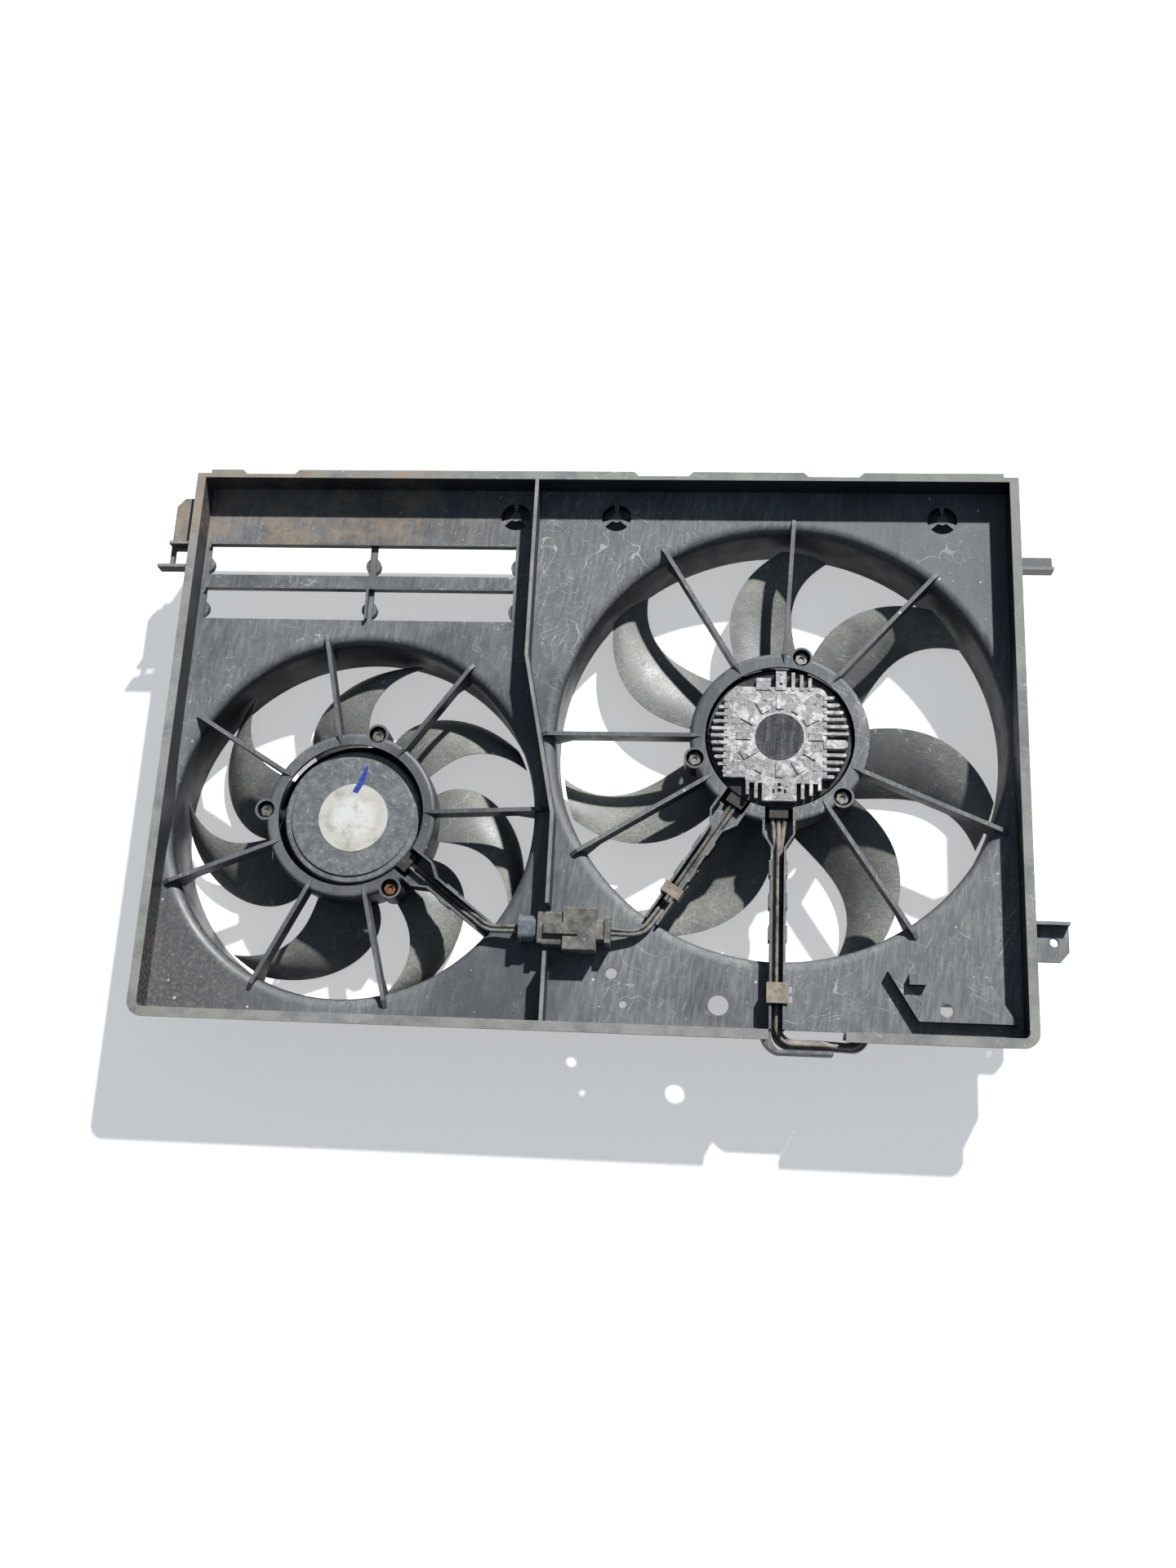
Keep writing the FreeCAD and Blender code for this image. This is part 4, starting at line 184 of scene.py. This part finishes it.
# Shroud: black moulding, faded to a cool grey in patches, with painted shade that keeps the side faces near
# black while the up-facing faces take the grey, under fine streaks of beige dust, with brown dust along the
# upper left, grit in the lower left corner and dusty rims
shroudLook = {
    "black": (0.012, 0.0145, 0.018),
    # faded: grey of the up-facing faces, partly real patchy fading and partly painted light set against the
    # painted shade of the side faces
    "faded": (0.128, 0.138, 0.15),
    "dust": (0.42, 0.41, 0.37),
    "stain": (0.35, 0.27, 0.19),
    "rust": (0.34, 0.16, 0.07),
    "pale": (0.72, 0.72, 0.69),
    "roughness": (0.4, 0.88),
    "rimHeight": (0.0715, 0.0745),
    "stainFromY": (0.15, 0.2),
    "stainFromX": (-0.055, -0.16),
    "gritCentre": (-0.325, -0.205, 0.055),
    "gritReach": (0.015, 0.11),
    "grit": (0.27, 0.22, 0.165),
    "curlCentre": (0.0, 0.15, 0.055),
    "curlReach": (0.05, 0.2),
}


def shroudMaterial(look=shroudLook):
    material, tree, shader = newMaterial("shroudPlastic")
    up = ramp(tree, facing(tree), 0.15, 0.92)
    high = ramp(tree, axisValue(tree, 2), *look["rimHeight"])
    broad = ramp(tree, noise(tree, 8, 5, 0.62), 0.32, 0.68)
    # painted shade: the grey fade drops to 12 % on faces that don't look up, so side faces stay near black as
    # if in shadow; the broad noise gives the real patchy fading
    fadeWithPaintedShade = sums(tree, "MULTIPLY", ramp(tree, up, 0, 1, 0.12, 1.0), ramp(tree, broad, 0, 1, 0.62, 1.0))
    colour = blendColour(tree, fadeWithPaintedShade, look["black"], look["faded"])
    film = sums(tree, "MULTIPLY", streaks(tree, 0.12, 330, 0.36, 0.74), ramp(tree, broad, 0, 1, 0.3, 0.7))
    cloud = ramp(tree, noise(tree, 24, 8, 0.7), 0.46, 0.74)
    fine = ramp(tree, noise(tree, 420, 5, 0.7), 0.4, 0.7, 0.2, 1.0)
    dust = sums(tree, "MAXIMUM", film, sums(tree, "MULTIPLY", cloud, fine))
    wiped = ramp(tree, noise(tree, 5, 3, 0.6), 0.36, 0.6, 0.35, 1.0)
    dust = sums(tree, "MULTIPLY", dust, wiped)
    rim = sums(tree, "MULTIPLY", high, ramp(tree, noise(tree, 34, 7, 0.7), 0.3, 0.62, 0.3, 0.85))
    dust = sums(tree, "MULTIPLY", sums(tree, "MAXIMUM", dust, rim), up)
    colour = blendColour(tree, sums(tree, "MULTIPLY", dust, 0.7), colour, look["dust"])
    # brown dust on the strip above the windows, with rusty specks in it
    strip = sums(tree, "MULTIPLY", ramp(tree, axisValue(tree, 1), *look["stainFromY"]),
                 ramp(tree, axisValue(tree, 0), *look["stainFromX"]))
    patches = ramp(tree, noise(tree, 19, 7, 0.74), 0.4, 0.66)
    stain = sums(tree, "MULTIPLY", sums(tree, "MULTIPLY", strip, patches), ramp(tree, up, 0, 1, 0.25, 0.8))
    colour = blendColour(tree, stain, colour, look["stain"])
    flecks = sums(tree, "MULTIPLY", strip, ramp(tree, noise(tree, 150, 5, 0.75), 0.58, 0.67))
    colour = blendColour(tree, sums(tree, "MULTIPLY", flecks, 0.8), colour, look["rust"])
    # grit in the lower left corner
    corner = spotAt(tree, look["gritCentre"], *look["gritReach"])
    grit = sums(tree, "MULTIPLY", corner, ramp(tree, noise(tree, 330, 4, 0.75), 0.47, 0.64))
    colour = blendColour(tree, sums(tree, "MULTIPLY", grit, 0.62), colour, look["grit"])
    # scratches and curling hairlines in patches, chalky specks
    lines = sums(tree, "MAXIMUM", scratches(tree, 0.5, 40, 0.68, 0.72), scratches(tree, -1.1, 33, 0.7, 0.74))
    lines = sums(tree, "MULTIPLY", lines, ramp(tree, noise(tree, 9, 3), 0.52, 0.66, 0.0, 0.5))
    curls = sums(tree, "MAXIMUM", hairs(tree, 26, 0.0035), hairs(tree, 47, 0.004, 2.0))
    near = sums(tree, "MAXIMUM", spotAt(tree, look["curlCentre"], *look["curlReach"]),
                ramp(tree, noise(tree, 7, 2), 0.5, 0.66))
    curls = sums(tree, "MULTIPLY", curls, sums(tree, "MULTIPLY", near, 0.42))
    lines = sums(tree, "MULTIPLY", sums(tree, "MAXIMUM", lines, curls), up)
    colour = blendColour(tree, lines, colour, look["pale"])
    specks = sums(tree, "MAXIMUM", dots(tree, 150, 0.22, 0.03), dots(tree, 420, 0.3, 0.02))
    specks = sums(tree, "MULTIPLY", specks, sums(tree, "MULTIPLY", up, 0.75))
    colour = blendColour(tree, specks, colour, look["pale"])
    tree.links.new(colour, shader.inputs["Base Color"])
    matt = sums(tree, "ADD", dust, broad)
    tree.links.new(ramp(tree, matt, 0, 1.4, *look["roughness"]), shader.inputs["Roughness"])
    grain = sums(tree, "ADD", noise(tree, 1100, 2, 0.6), sums(tree, "MULTIPLY", noise(tree, 70, 4, 0.6), 0.6))
    bump(tree, shader, grain, 0.2, 0.0005)
    return material


# Fans: the same black plastic under a beige film that grows towards the tips
fanLook = {
    "bigTip": 0.18,
    "smallTip": 0.1475,
    "black": (0.012, 0.013, 0.015),
    "worn": (0.095, 0.099, 0.1),
    "film": (0.38, 0.37, 0.325),
    "mud": (0.46, 0.41, 0.33),
    "pale": (0.68, 0.66, 0.6),
}


def fanMaterial(name, centre, tip, look=fanLook):
    material, tree, shader = newMaterial(name)
    flat = tree.nodes.new("ShaderNodeVectorMath")
    flat.operation = "MULTIPLY"
    flat.inputs[1].default_value = (1, 1, 0)
    tree.links.new(place(tree), flat.inputs[0])
    reach = tree.nodes.new("ShaderNodeVectorMath")
    reach.operation = "DISTANCE"
    reach.inputs[1].default_value = (centre[0], centre[1], 0)
    tree.links.new(flat.outputs[0], reach.inputs[0])
    outward = ramp(tree, reach.outputs["Value"], tip * 0.34, tip * 0.95, 0.22, 1.0)
    up = ramp(tree, facing(tree), -0.1, 0.85)
    colour = blendColour(tree, up, look["black"], look["worn"])
    cloud = ramp(tree, noise(tree, 20, 7, 0.68), 0.3, 0.72, 0.25, 1.0)
    fine = ramp(tree, noise(tree, 520, 4, 0.7), 0.34, 0.7, 0.4, 1.0)
    film = sums(tree, "MULTIPLY", sums(tree, "MULTIPLY", cloud, outward), sums(tree, "MULTIPLY", up, fine))
    colour = blendColour(tree, film, colour, look["film"])
    mud = sums(tree, "MULTIPLY", ramp(tree, noise(tree, 62, 7, 0.74), 0.58, 0.74), outward)
    caked = sums(tree, "MULTIPLY", mud, sums(tree, "MULTIPLY", up, 0.7))
    colour = blendColour(tree, caked, colour, look["mud"])
    lines = sums(tree, "MAXIMUM", scratches(tree, 0.2, 40, 0.7, 0.74), hairs(tree, 24, 0.003))
    lines = sums(tree, "MAXIMUM", sums(tree, "MULTIPLY", lines, 0.3), dots(tree, 110, 0.22, 0.03))
    colour = blendColour(tree, sums(tree, "MULTIPLY", lines, up), colour, look["pale"])
    tree.links.new(colour, shader.inputs["Base Color"])
    tree.links.new(ramp(tree, film, 0, 1, 0.36, 0.88), shader.inputs["Roughness"])
    relief = sums(tree, "ADD", noise(tree, 700, 3, 0.6), sums(tree, "MULTIPLY", mud, 0.8))
    bump(tree, shader, relief, 0.22, 0.0005)
    return material


# Plain worn surfaces in two tones with dirt
def wornMaterial(name, first, second, dirt, rough, metallic, scale, dirtShare):
    material, tree, shader = newMaterial(name)
    mottled = ramp(tree, noise(tree, scale, 6, 0.65), 0.35, 0.65)
    colour = blendColour(tree, mottled, first, second)
    soil = noise(tree, scale * 1.7, 7, 0.7)
    soil = ramp(tree, soil, 0.68 - dirtShare * 0.3, 0.82 - dirtShare * 0.2)
    colour = blendColour(tree, soil, colour, dirt)
    lines = sums(tree, "MULTIPLY", scratches(tree, 0.7, 60), 0.35)
    colour = blendColour(tree, lines, colour, tuple(min(part * 2.2 + 0.1, 0.8) for part in second))
    tree.links.new(colour, shader.inputs["Base Color"])
    tree.links.new(ramp(tree, sums(tree, "ADD", mottled, soil), 0, 2, *rough), shader.inputs["Roughness"])
    if metallic:
        tree.links.new(ramp(tree, soil, 0, 1, metallic, metallic * 0.2), shader.inputs["Metallic"])
    bump(tree, shader, noise(tree, scale * 9, 3, 0.6), 0.2, 0.0004)
    return material


# Heat sink: cast aluminium under patchy white corrosion, with a dark round pad in the middle
sinkLook = {
    "metal": (0.34, 0.335, 0.335),
    "dark": (0.06, 0.06, 0.062),
    "white": (0.76, 0.76, 0.75),
    "chalk": (0.56, 0.555, 0.54),
    "pad": ((0.05, 0.053, 0.057), (0.15, 0.152, 0.152)),
    "padRadius": (0.0192, 0.0198),
    "ringRadius": (0.0205, 0.0212),
}


def heatSinkMaterial(centre, look=sinkLook):
    material, tree, shader = newMaterial("corrodedAluminium")
    blotch = ramp(tree, noise(tree, 85, 9, 0.74, distortion=0.4), 0.47, 0.53)
    wide = ramp(tree, noise(tree, 26, 4, 0.6), 0.4, 0.62)
    pits = ramp(tree, noise(tree, 380, 5, 0.72), 0.52, 0.68)
    metal = blendColour(tree, pits, look["metal"], look["dark"])
    chalky = ramp(tree, noise(tree, 260, 5, 0.7), 0.4, 0.6)
    white = blendColour(tree, chalky, look["white"], look["chalk"])
    covered = sums(tree, "MULTIPLY", blotch, ramp(tree, wide, 0, 1, 0.6, 1.0))
    colour = blendColour(tree, covered, metal, white)
    holes = ramp(tree, noise(tree, 210, 6, 0.78, distortion=0.8), 0.6, 0.66)
    holes = sums(tree, "MULTIPLY", holes, 0.7)
    colour = blendColour(tree, holes, colour, look["dark"])
    middle = (*centre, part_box("big_heat_sink")[1].z)
    pad = spotAt(tree, middle, *look["padRadius"])
    edge = spotAt(tree, middle, *look["ringRadius"])
    tone = blendColour(tree, streaks(tree, 0.1, 240, 0.4, 0.75), *look["pad"])
    colour = blendColour(tree, edge, colour, look["chalk"])
    colour = blendColour(tree, pad, colour, tone)
    tree.links.new(colour, shader.inputs["Base Color"])
    tree.links.new(ramp(tree, covered, 0, 1, 0.6, 0.0), shader.inputs["Metallic"])
    tree.links.new(ramp(tree, covered, 0, 1, 0.45, 0.92), shader.inputs["Roughness"])
    grain = sums(tree, "MULTIPLY", noise(tree, 400, 4, 0.7), 0.9)
    relief = sums(tree, "ADD", sums(tree, "MULTIPLY", covered, 0.8), grain)
    bump(tree, shader, sums(tree, "SUBTRACT", relief, holes), 0.6, 0.0006)
    return material


# Screws: zinc plate with rust; one screw of the small motor is rusted all over
screwLook = {
    "rust": ((0.09, 0.035, 0.015), (0.3, 0.13, 0.055)),
    "zinc": ((0.3, 0.29, 0.26), (0.52, 0.5, 0.45)),
    "rustyReach": 0.071,
    "rustyTurn": 302,
    "rustyHeight": 0.05,
    "rustyRadius": (0.012, 0.016),
}


def rustyScrew(centre, look=screwLook):
    turn = math.radians(look["rustyTurn"])
    return (centre[0] + look["rustyReach"] * math.cos(turn),
            centre[1] + look["rustyReach"] * math.sin(turn), look["rustyHeight"])


def screwMaterial(name, rustySpot=None, look=screwLook):
    material, tree, shader = newMaterial(name)
    rust = ramp(tree, noise(tree, 300, 5, 0.7), 0.56, 0.68)
    if rustySpot:
        rust = sums(tree, "MAXIMUM", rust, spotAt(tree, rustySpot, *look["rustyRadius"]))
    shade = ramp(tree, noise(tree, 700, 4), 0.35, 0.65)
    rustTone = blendColour(tree, shade, *look["rust"])
    zinc = blendColour(tree, shade, *look["zinc"])
    tree.links.new(blendColour(tree, rust, zinc, rustTone), shader.inputs["Base Color"])
    tree.links.new(ramp(tree, rust, 0, 1, 0.8, 0.0), shader.inputs["Metallic"])
    tree.links.new(ramp(tree, rust, 0, 1, 0.38, 0.9), shader.inputs["Roughness"])
    bump(tree, shader, noise(tree, 900, 3), 0.3, 0.0003)
    return material


# Leads: taped and dusty wires, darker where the dust has rubbed off
leadLook = {
    "supply": ((0.1, 0.092, 0.083), (0.33, 0.3, 0.255)),
    "link": ((0.04, 0.041, 0.043), (0.23, 0.22, 0.195)),
    "rusty": (0.13, 0.085, 0.055),
    "wraps": 60,
}


def leadMaterial(name, dark, dusty, look=leadLook):
    material, tree, shader = newMaterial(name)
    soil = ramp(tree, noise(tree, 70, 6, 0.7), 0.34, 0.66)
    up = ramp(tree, facing(tree), -0.2, 0.8, 0.25, 1.0)
    film = sums(tree, "MULTIPLY", soil, up)
    colour = blendColour(tree, film, dark, dusty)
    rusty = sums(tree, "MULTIPLY", ramp(tree, noise(tree, 130, 5, 0.7), 0.56, 0.7), 0.5)
    colour = blendColour(tree, rusty, colour, look["rusty"])
    tree.links.new(colour, shader.inputs["Base Color"])
    tree.links.new(ramp(tree, film, 0, 1, 0.45, 0.85), shader.inputs["Roughness"])
    wraps = tree.nodes.new("ShaderNodeTexWave")
    wraps.inputs["Scale"].default_value = look["wraps"]
    wraps.inputs["Distortion"].default_value = 2.5
    wraps.bands_direction = "DIAGONAL"
    tree.links.new(place(tree), wraps.inputs["Vector"])
    relief = sums(tree, "ADD", wraps.outputs["Fac"], noise(tree, 500, 3))
    bump(tree, shader, relief, 0.3, 0.0004)
    return material


# The fans turn about these points of the frame
bigAxis, smallAxis = (tuple(joint["pos_m"][:2]) for joint in frame["joints"])

# Worn finishes by node: name, two tones, dirt, roughness from and to, metallic, grain, share of dirt
wornLooks = {
    "small_motor_cover": ("motorPaint", (0.125, 0.134, 0.142), (0.2, 0.208, 0.21), (0.35, 0.345, 0.33),
                          (0.35, 0.66), 0, 150, 0.5),
    "link_lead_clip": ("tanClip", (0.24, 0.2, 0.155), (0.36, 0.31, 0.25), (0.16, 0.1, 0.065),
                       (0.5, 0.8), 0, 120, 0.6),
    "link_seal_boot": ("boot", (0.085, 0.1, 0.12), (0.15, 0.165, 0.18), (0.24, 0.23, 0.2),
                       (0.55, 0.85), 0, 110, 0.4),
    "link_socket": ("connectorPlastic", (0.085, 0.081, 0.074), (0.19, 0.18, 0.162), (0.33, 0.305, 0.26),
                    (0.45, 0.8), 0, 100, 0.5),
    "big_motor_can": ("canPaint", (0.03, 0.032, 0.036), (0.07, 0.072, 0.076), (0.16, 0.12, 0.09),
                      (0.35, 0.6), 0.4, 60, 0.4),
    "big_motor_bracket": ("darkSteel", (0.02, 0.021, 0.023), (0.05, 0.05, 0.05), (0.12, 0.07, 0.04),
                          (0.4, 0.75), 0.4, 140, 0.45),
    "big_shaft_nut": ("platedSteel", (0.22, 0.215, 0.2), (0.4, 0.39, 0.36), (0.16, 0.075, 0.035),
                      (0.35, 0.7), 0.8, 140, 0.5),
    "big_controller_housing": ("housingPlastic", (0.016, 0.0165, 0.018), (0.045, 0.045, 0.045),
                               (0.13, 0.125, 0.11), (0.4, 0.75), 0, 80, 0.35),
    "big_supply_grommet": ("rubber", (0.02, 0.02, 0.021), (0.05, 0.048, 0.045), (0.17, 0.1, 0.07),
                           (0.6, 0.9), 0, 160, 0.5),
    "big_shaft": ("shaftSteel", (0.45, 0.45, 0.45), (0.6, 0.6, 0.6), (0.3, 0.2, 0.12),
                  (0.25, 0.45), 0.9, 200, 0.1),
    "big_armature": ("coreSteel", (0.2, 0.2, 0.21), (0.3, 0.3, 0.3), (0.15, 0.08, 0.04),
                     (0.4, 0.6), 0.8, 200, 0.2),
    "big_windings": ("enamelledCopper", (0.5, 0.2, 0.07), (0.68, 0.3, 0.12), (0.2, 0.08, 0.03),
                     (0.25, 0.45), 0.8, 300, 0.2),
    "big_motor_magnets": ("ferrite", (0.05, 0.05, 0.055), (0.09, 0.09, 0.095), (0.14, 0.12, 0.1),
                          (0.5, 0.7), 0, 160, 0.2),
    "big_controller_board": ("circuitBoard", (0.02, 0.09, 0.04), (0.03, 0.13, 0.06), (0.3, 0.25, 0.1),
                             (0.3, 0.5), 0, 260, 0.2),
}

looks = {
    "shroud": shroudMaterial(),
    "big_fan": fanMaterial("bigFanPlastic", bigAxis, fanLook["bigTip"]),
    "small_fan": fanMaterial("smallFanPlastic", smallAxis, fanLook["smallTip"]),
    "big_heat_sink": heatSinkMaterial(bigAxis),
    "big_motor_screws": screwMaterial("zincScrews"),
    "small_motor_screws": screwMaterial("rustyScrews", rustyScrew(smallAxis)),
    "supply_lead": leadMaterial("supplyWires", *leadLook["supply"]),
    "link_lead": leadMaterial("linkWires", *leadLook["link"]),
}
for node, finish in wornLooks.items():
    looks[node] = wornMaterial(*finish)
sameLook = {
    "link_lead_clip": ("supply_lead_clip",),
    "link_socket": ("link_plug", "supply_connector", "link_lock"),
    "link_lead": ("small_motor_lead",),
    "big_motor_can": ("small_motor_can",),
    "big_motor_bracket": ("small_motor_bracket",),
    "big_shaft_nut": ("small_shaft_nut",),
    "big_controller_housing": ("big_controller_lid", "big_brush_plate", "small_brush_plate",
                               "big_controller_transistors"),
    "big_supply_grommet": ("big_link_grommet", "small_lead_grommet", "big_controller_seal"),
    "big_shaft": ("small_shaft", "big_front_bearing", "big_rear_bearing", "small_front_bearing",
                  "small_rear_bearing", "big_hub_insert", "small_hub_insert"),
    "big_armature": ("small_armature",),
    "big_windings": ("small_windings", "big_commutator", "small_commutator"),
    "big_motor_magnets": ("small_motor_magnets", "big_brushes", "small_brushes"),
}
for leader, followers in sameLook.items():
    for follower in followers:
        looks[follower] = looks[leader]
for name, thing in nodes.items():
    thing.data.materials.clear()
    thing.data.materials.append(looks[name])
print("stage: materials on", len(looks), "nodes")


# Pieces drawn only here

def meshPiece(name, build, material):
    mesh = bpy.data.meshes.new(name)
    work = bmesh.new()
    build(work)
    bmesh.ops.recalc_face_normals(work, faces=work.faces)
    work.to_mesh(mesh)
    work.free()
    thing = bpy.data.objects.new(name, mesh)
    bpy.context.scene.collection.objects.link(thing)
    mesh.materials.append(material)
    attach(thing, shroudBody)


# Round label on the small motor's cover, left bare, with a worn edge and a crease of dirt
label = {
    "radius": 0.0287,
    "thick": 0.0003,
    "wear": 0.0001,
    "offset": (0.001, -0.0012),
    "paper": ((0.6, 0.58, 0.53), (0.7, 0.69, 0.65)),
    "paleRadius": (0.013, 0.021),
    "soil": (0.38, 0.36, 0.31),
    "scratch": (0.2, 0.2, 0.2),
}
labelCentre = Vector((smallAxis[0] + label["offset"][0], smallAxis[1] + label["offset"][1],
                      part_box("small_motor_cover")[1].z))


def labelMaterial():
    material, tree, shader = newMaterial("bareLabel")
    soil = ramp(tree, noise(tree, 60, 7, 0.7), 0.45, 0.7)
    middle = spotAt(tree, labelCentre, *label["paleRadius"])
    faded = blendColour(tree, middle, *label["paper"])
    colour = blendColour(tree, soil, faded, label["soil"])
    lines = sums(tree, "MULTIPLY", scratches(tree, 1.2, 70), 0.4)
    colour = blendColour(tree, lines, colour, label["scratch"])
    tree.links.new(colour, shader.inputs["Base Color"])
    tree.links.new(ramp(tree, soil, 0, 1, 0.4, 0.75), shader.inputs["Roughness"])
    bump(tree, shader, noise(tree, 260, 4), 0.2, 0.0003)
    return material


def buildLabel(work, count=96):
    rings = []
    for height in (0.0, label["thick"]):
        ring = []
        for step in range(count):
            angle = 2 * math.pi * step / count
            radius = label["radius"] + label["wear"] * math.sin(3 * angle + 0.6) * math.sin(11 * angle)
            reach = Vector((radius * math.cos(angle), radius * math.sin(angle), height))
            ring.append(work.verts.new(labelCentre + reach))
        rings.append(ring)
    for step in range(count):
        following = (step + 1) % count
        work.faces.new((rings[0][step], rings[0][following], rings[1][following], rings[1][step]))
    work.faces.new(rings[1])
    work.faces.new(list(reversed(rings[0])))


meshPiece("motorLabel", buildLabel, labelMaterial())

# Stroke of a blue marker from the cover onto the label, placed from the label's centre
stroke = {
    "start": (0.008, 0.0447),
    "finish": (-0.0007, 0.0214),
    "broad": 0.005,
    "narrow": 0.0014,
    "bow": 0.0012,
    "lift": 0.0001,
    "blue": ((0.01, 0.03, 0.28), (0.05, 0.1, 0.42)),
}


def buildStroke(work, steps=14):
    start, finish = (labelCentre.xy + Vector(stroke[end]) for end in ("start", "finish"))
    along = (finish - start).normalized()
    side = Vector((-along.y, along.x))
    left, right = [], []
    for step in range(steps + 1):
        share = step / steps
        middle = start.lerp(finish, share) + side * stroke["bow"] * math.sin(share * 3)
        swell = math.sin(math.pi * (share * 0.68 + 0.02))
        width = stroke["narrow"] + (stroke["broad"] - stroke["narrow"]) * swell
        rest = labelCentre.z + label["thick"] + stroke["lift"]
        left.append(work.verts.new((*(middle + side * width / 2), rest)))
        right.append(work.verts.new((*(middle - side * width / 2), rest)))
    for step in range(steps):
        work.faces.new((left[step], left[step + 1], right[step + 1], right[step]))
    made = bmesh.ops.extrude_face_region(work, geom=list(work.faces))
    lowered = [part for part in made["geom"] if isinstance(part, bmesh.types.BMVert)]
    bmesh.ops.translate(work, verts=lowered, vec=(0, 0, -label["thick"]))


def inkMaterial():
    material, tree, shader = newMaterial("blueInk")
    patchy = ramp(tree, noise(tree, 420, 5, 0.7), 0.35, 0.7)
    colour = blendColour(tree, patchy, *stroke["blue"])
    tree.links.new(colour, shader.inputs["Base Color"])
    shader.inputs["Roughness"].default_value = 0.5
    return material


meshPiece("markerStroke", buildStroke, inkMaterial())
print("stage: label and marker stroke")


# Floor, lights and camera
studio = {
    "floorShade": (0.92, 0.92, 0.915),
    "floorReach": 12,
    "floorGlow": 0.5,
    "keyPower": 5.6,
    "keyTurn": (-27, 36.2),
    "keyAngle": 1.8,
    "worldShade": (0.6, 0.78, 1.0),
    "worldPower": 0.17,
}


def makeFloor():
    mesh = bpy.data.meshes.new("floor")
    reach = studio["floorReach"]
    corners = [(-reach, -reach, 0), (reach, -reach, 0), (reach, reach, 0), (-reach, reach, 0)]
    mesh.from_pydata(corners, [], [(0, 1, 2, 3)])
    floor = bpy.data.objects.new("floor", mesh)
    bpy.context.scene.collection.objects.link(floor)
    material, tree, shader = newMaterial("paleFloor")
    shader.inputs["Base Color"].default_value = (*studio["floorShade"], 1)
    shader.inputs["Roughness"].default_value = 0.9
    shader.inputs["Emission Color"].default_value = (*studio["floorShade"], 1)
    rays = tree.nodes.new("ShaderNodeLightPath")
    seen = sums(tree, "ADD", rays.outputs["Is Camera Ray"], rays.outputs["Is Glossy Ray"])
    seen = sums(tree, "ADD", seen, rays.outputs["Is Transmission Ray"])
    tree.links.new(sums(tree, "MULTIPLY", seen, studio["floorGlow"]), shader.inputs["Emission Strength"])
    mesh.materials.append(material)


def makeLights():
    sun = bpy.data.lights.new("key", "SUN")
    sun.energy = studio["keyPower"]
    sun.angle = math.radians(studio["keyAngle"])
    lamp = bpy.data.objects.new("key", sun)
    bpy.context.scene.collection.objects.link(lamp)
    azimuth, elevation = (math.radians(angle) for angle in studio["keyTurn"])
    towards = Vector((math.sin(-azimuth) * math.cos(elevation), math.cos(azimuth) * math.cos(elevation),
                      math.sin(elevation)))
    lamp.rotation_euler = towards.to_track_quat("Z", "Y").to_euler()
    world = bpy.data.worlds.new("studio")
    world.use_nodes = True
    background = world.node_tree.nodes["Background"]
    background.inputs[0].default_value = (*studio["worldShade"], 1)
    background.inputs[1].default_value = studio["worldPower"]
    bpy.context.scene.world = world


# Camera of the photograph: its place, its directions and its focal length in pixels
camera = {
    "place": (0.1052, -0.3808, 1.2182),
    "right": (0.996118, 0.047020, -0.074420),
    "down": (0.023460, -0.956618, -0.290399),
    "ahead": (-0.084846, 0.287526, -0.954007),
    "focalPixels": 1837.67,
    "imageHeight": 1920,
    "sensor": 36,
}


def makeCamera():
    data = bpy.data.cameras.new("photoView")
    data.sensor_width = camera["sensor"]
    data.sensor_fit = "AUTO"
    data.lens = camera["focalPixels"] / camera["imageHeight"] * camera["sensor"]
    view = bpy.data.objects.new("photoView", data)
    bpy.context.scene.collection.objects.link(view)
    right, down, ahead = (Vector(camera[key]) for key in ("right", "down", "ahead"))
    turn = Matrix((right, -down, -ahead)).transposed().to_4x4()
    view.matrix_world = Matrix.Translation(Vector(camera["place"])) @ turn
    bpy.context.scene.camera = view


makeFloor()
makeLights()
makeCamera()
bpy.context.scene.view_settings.view_transform = "Standard"
print("stage: floor, lights, camera")
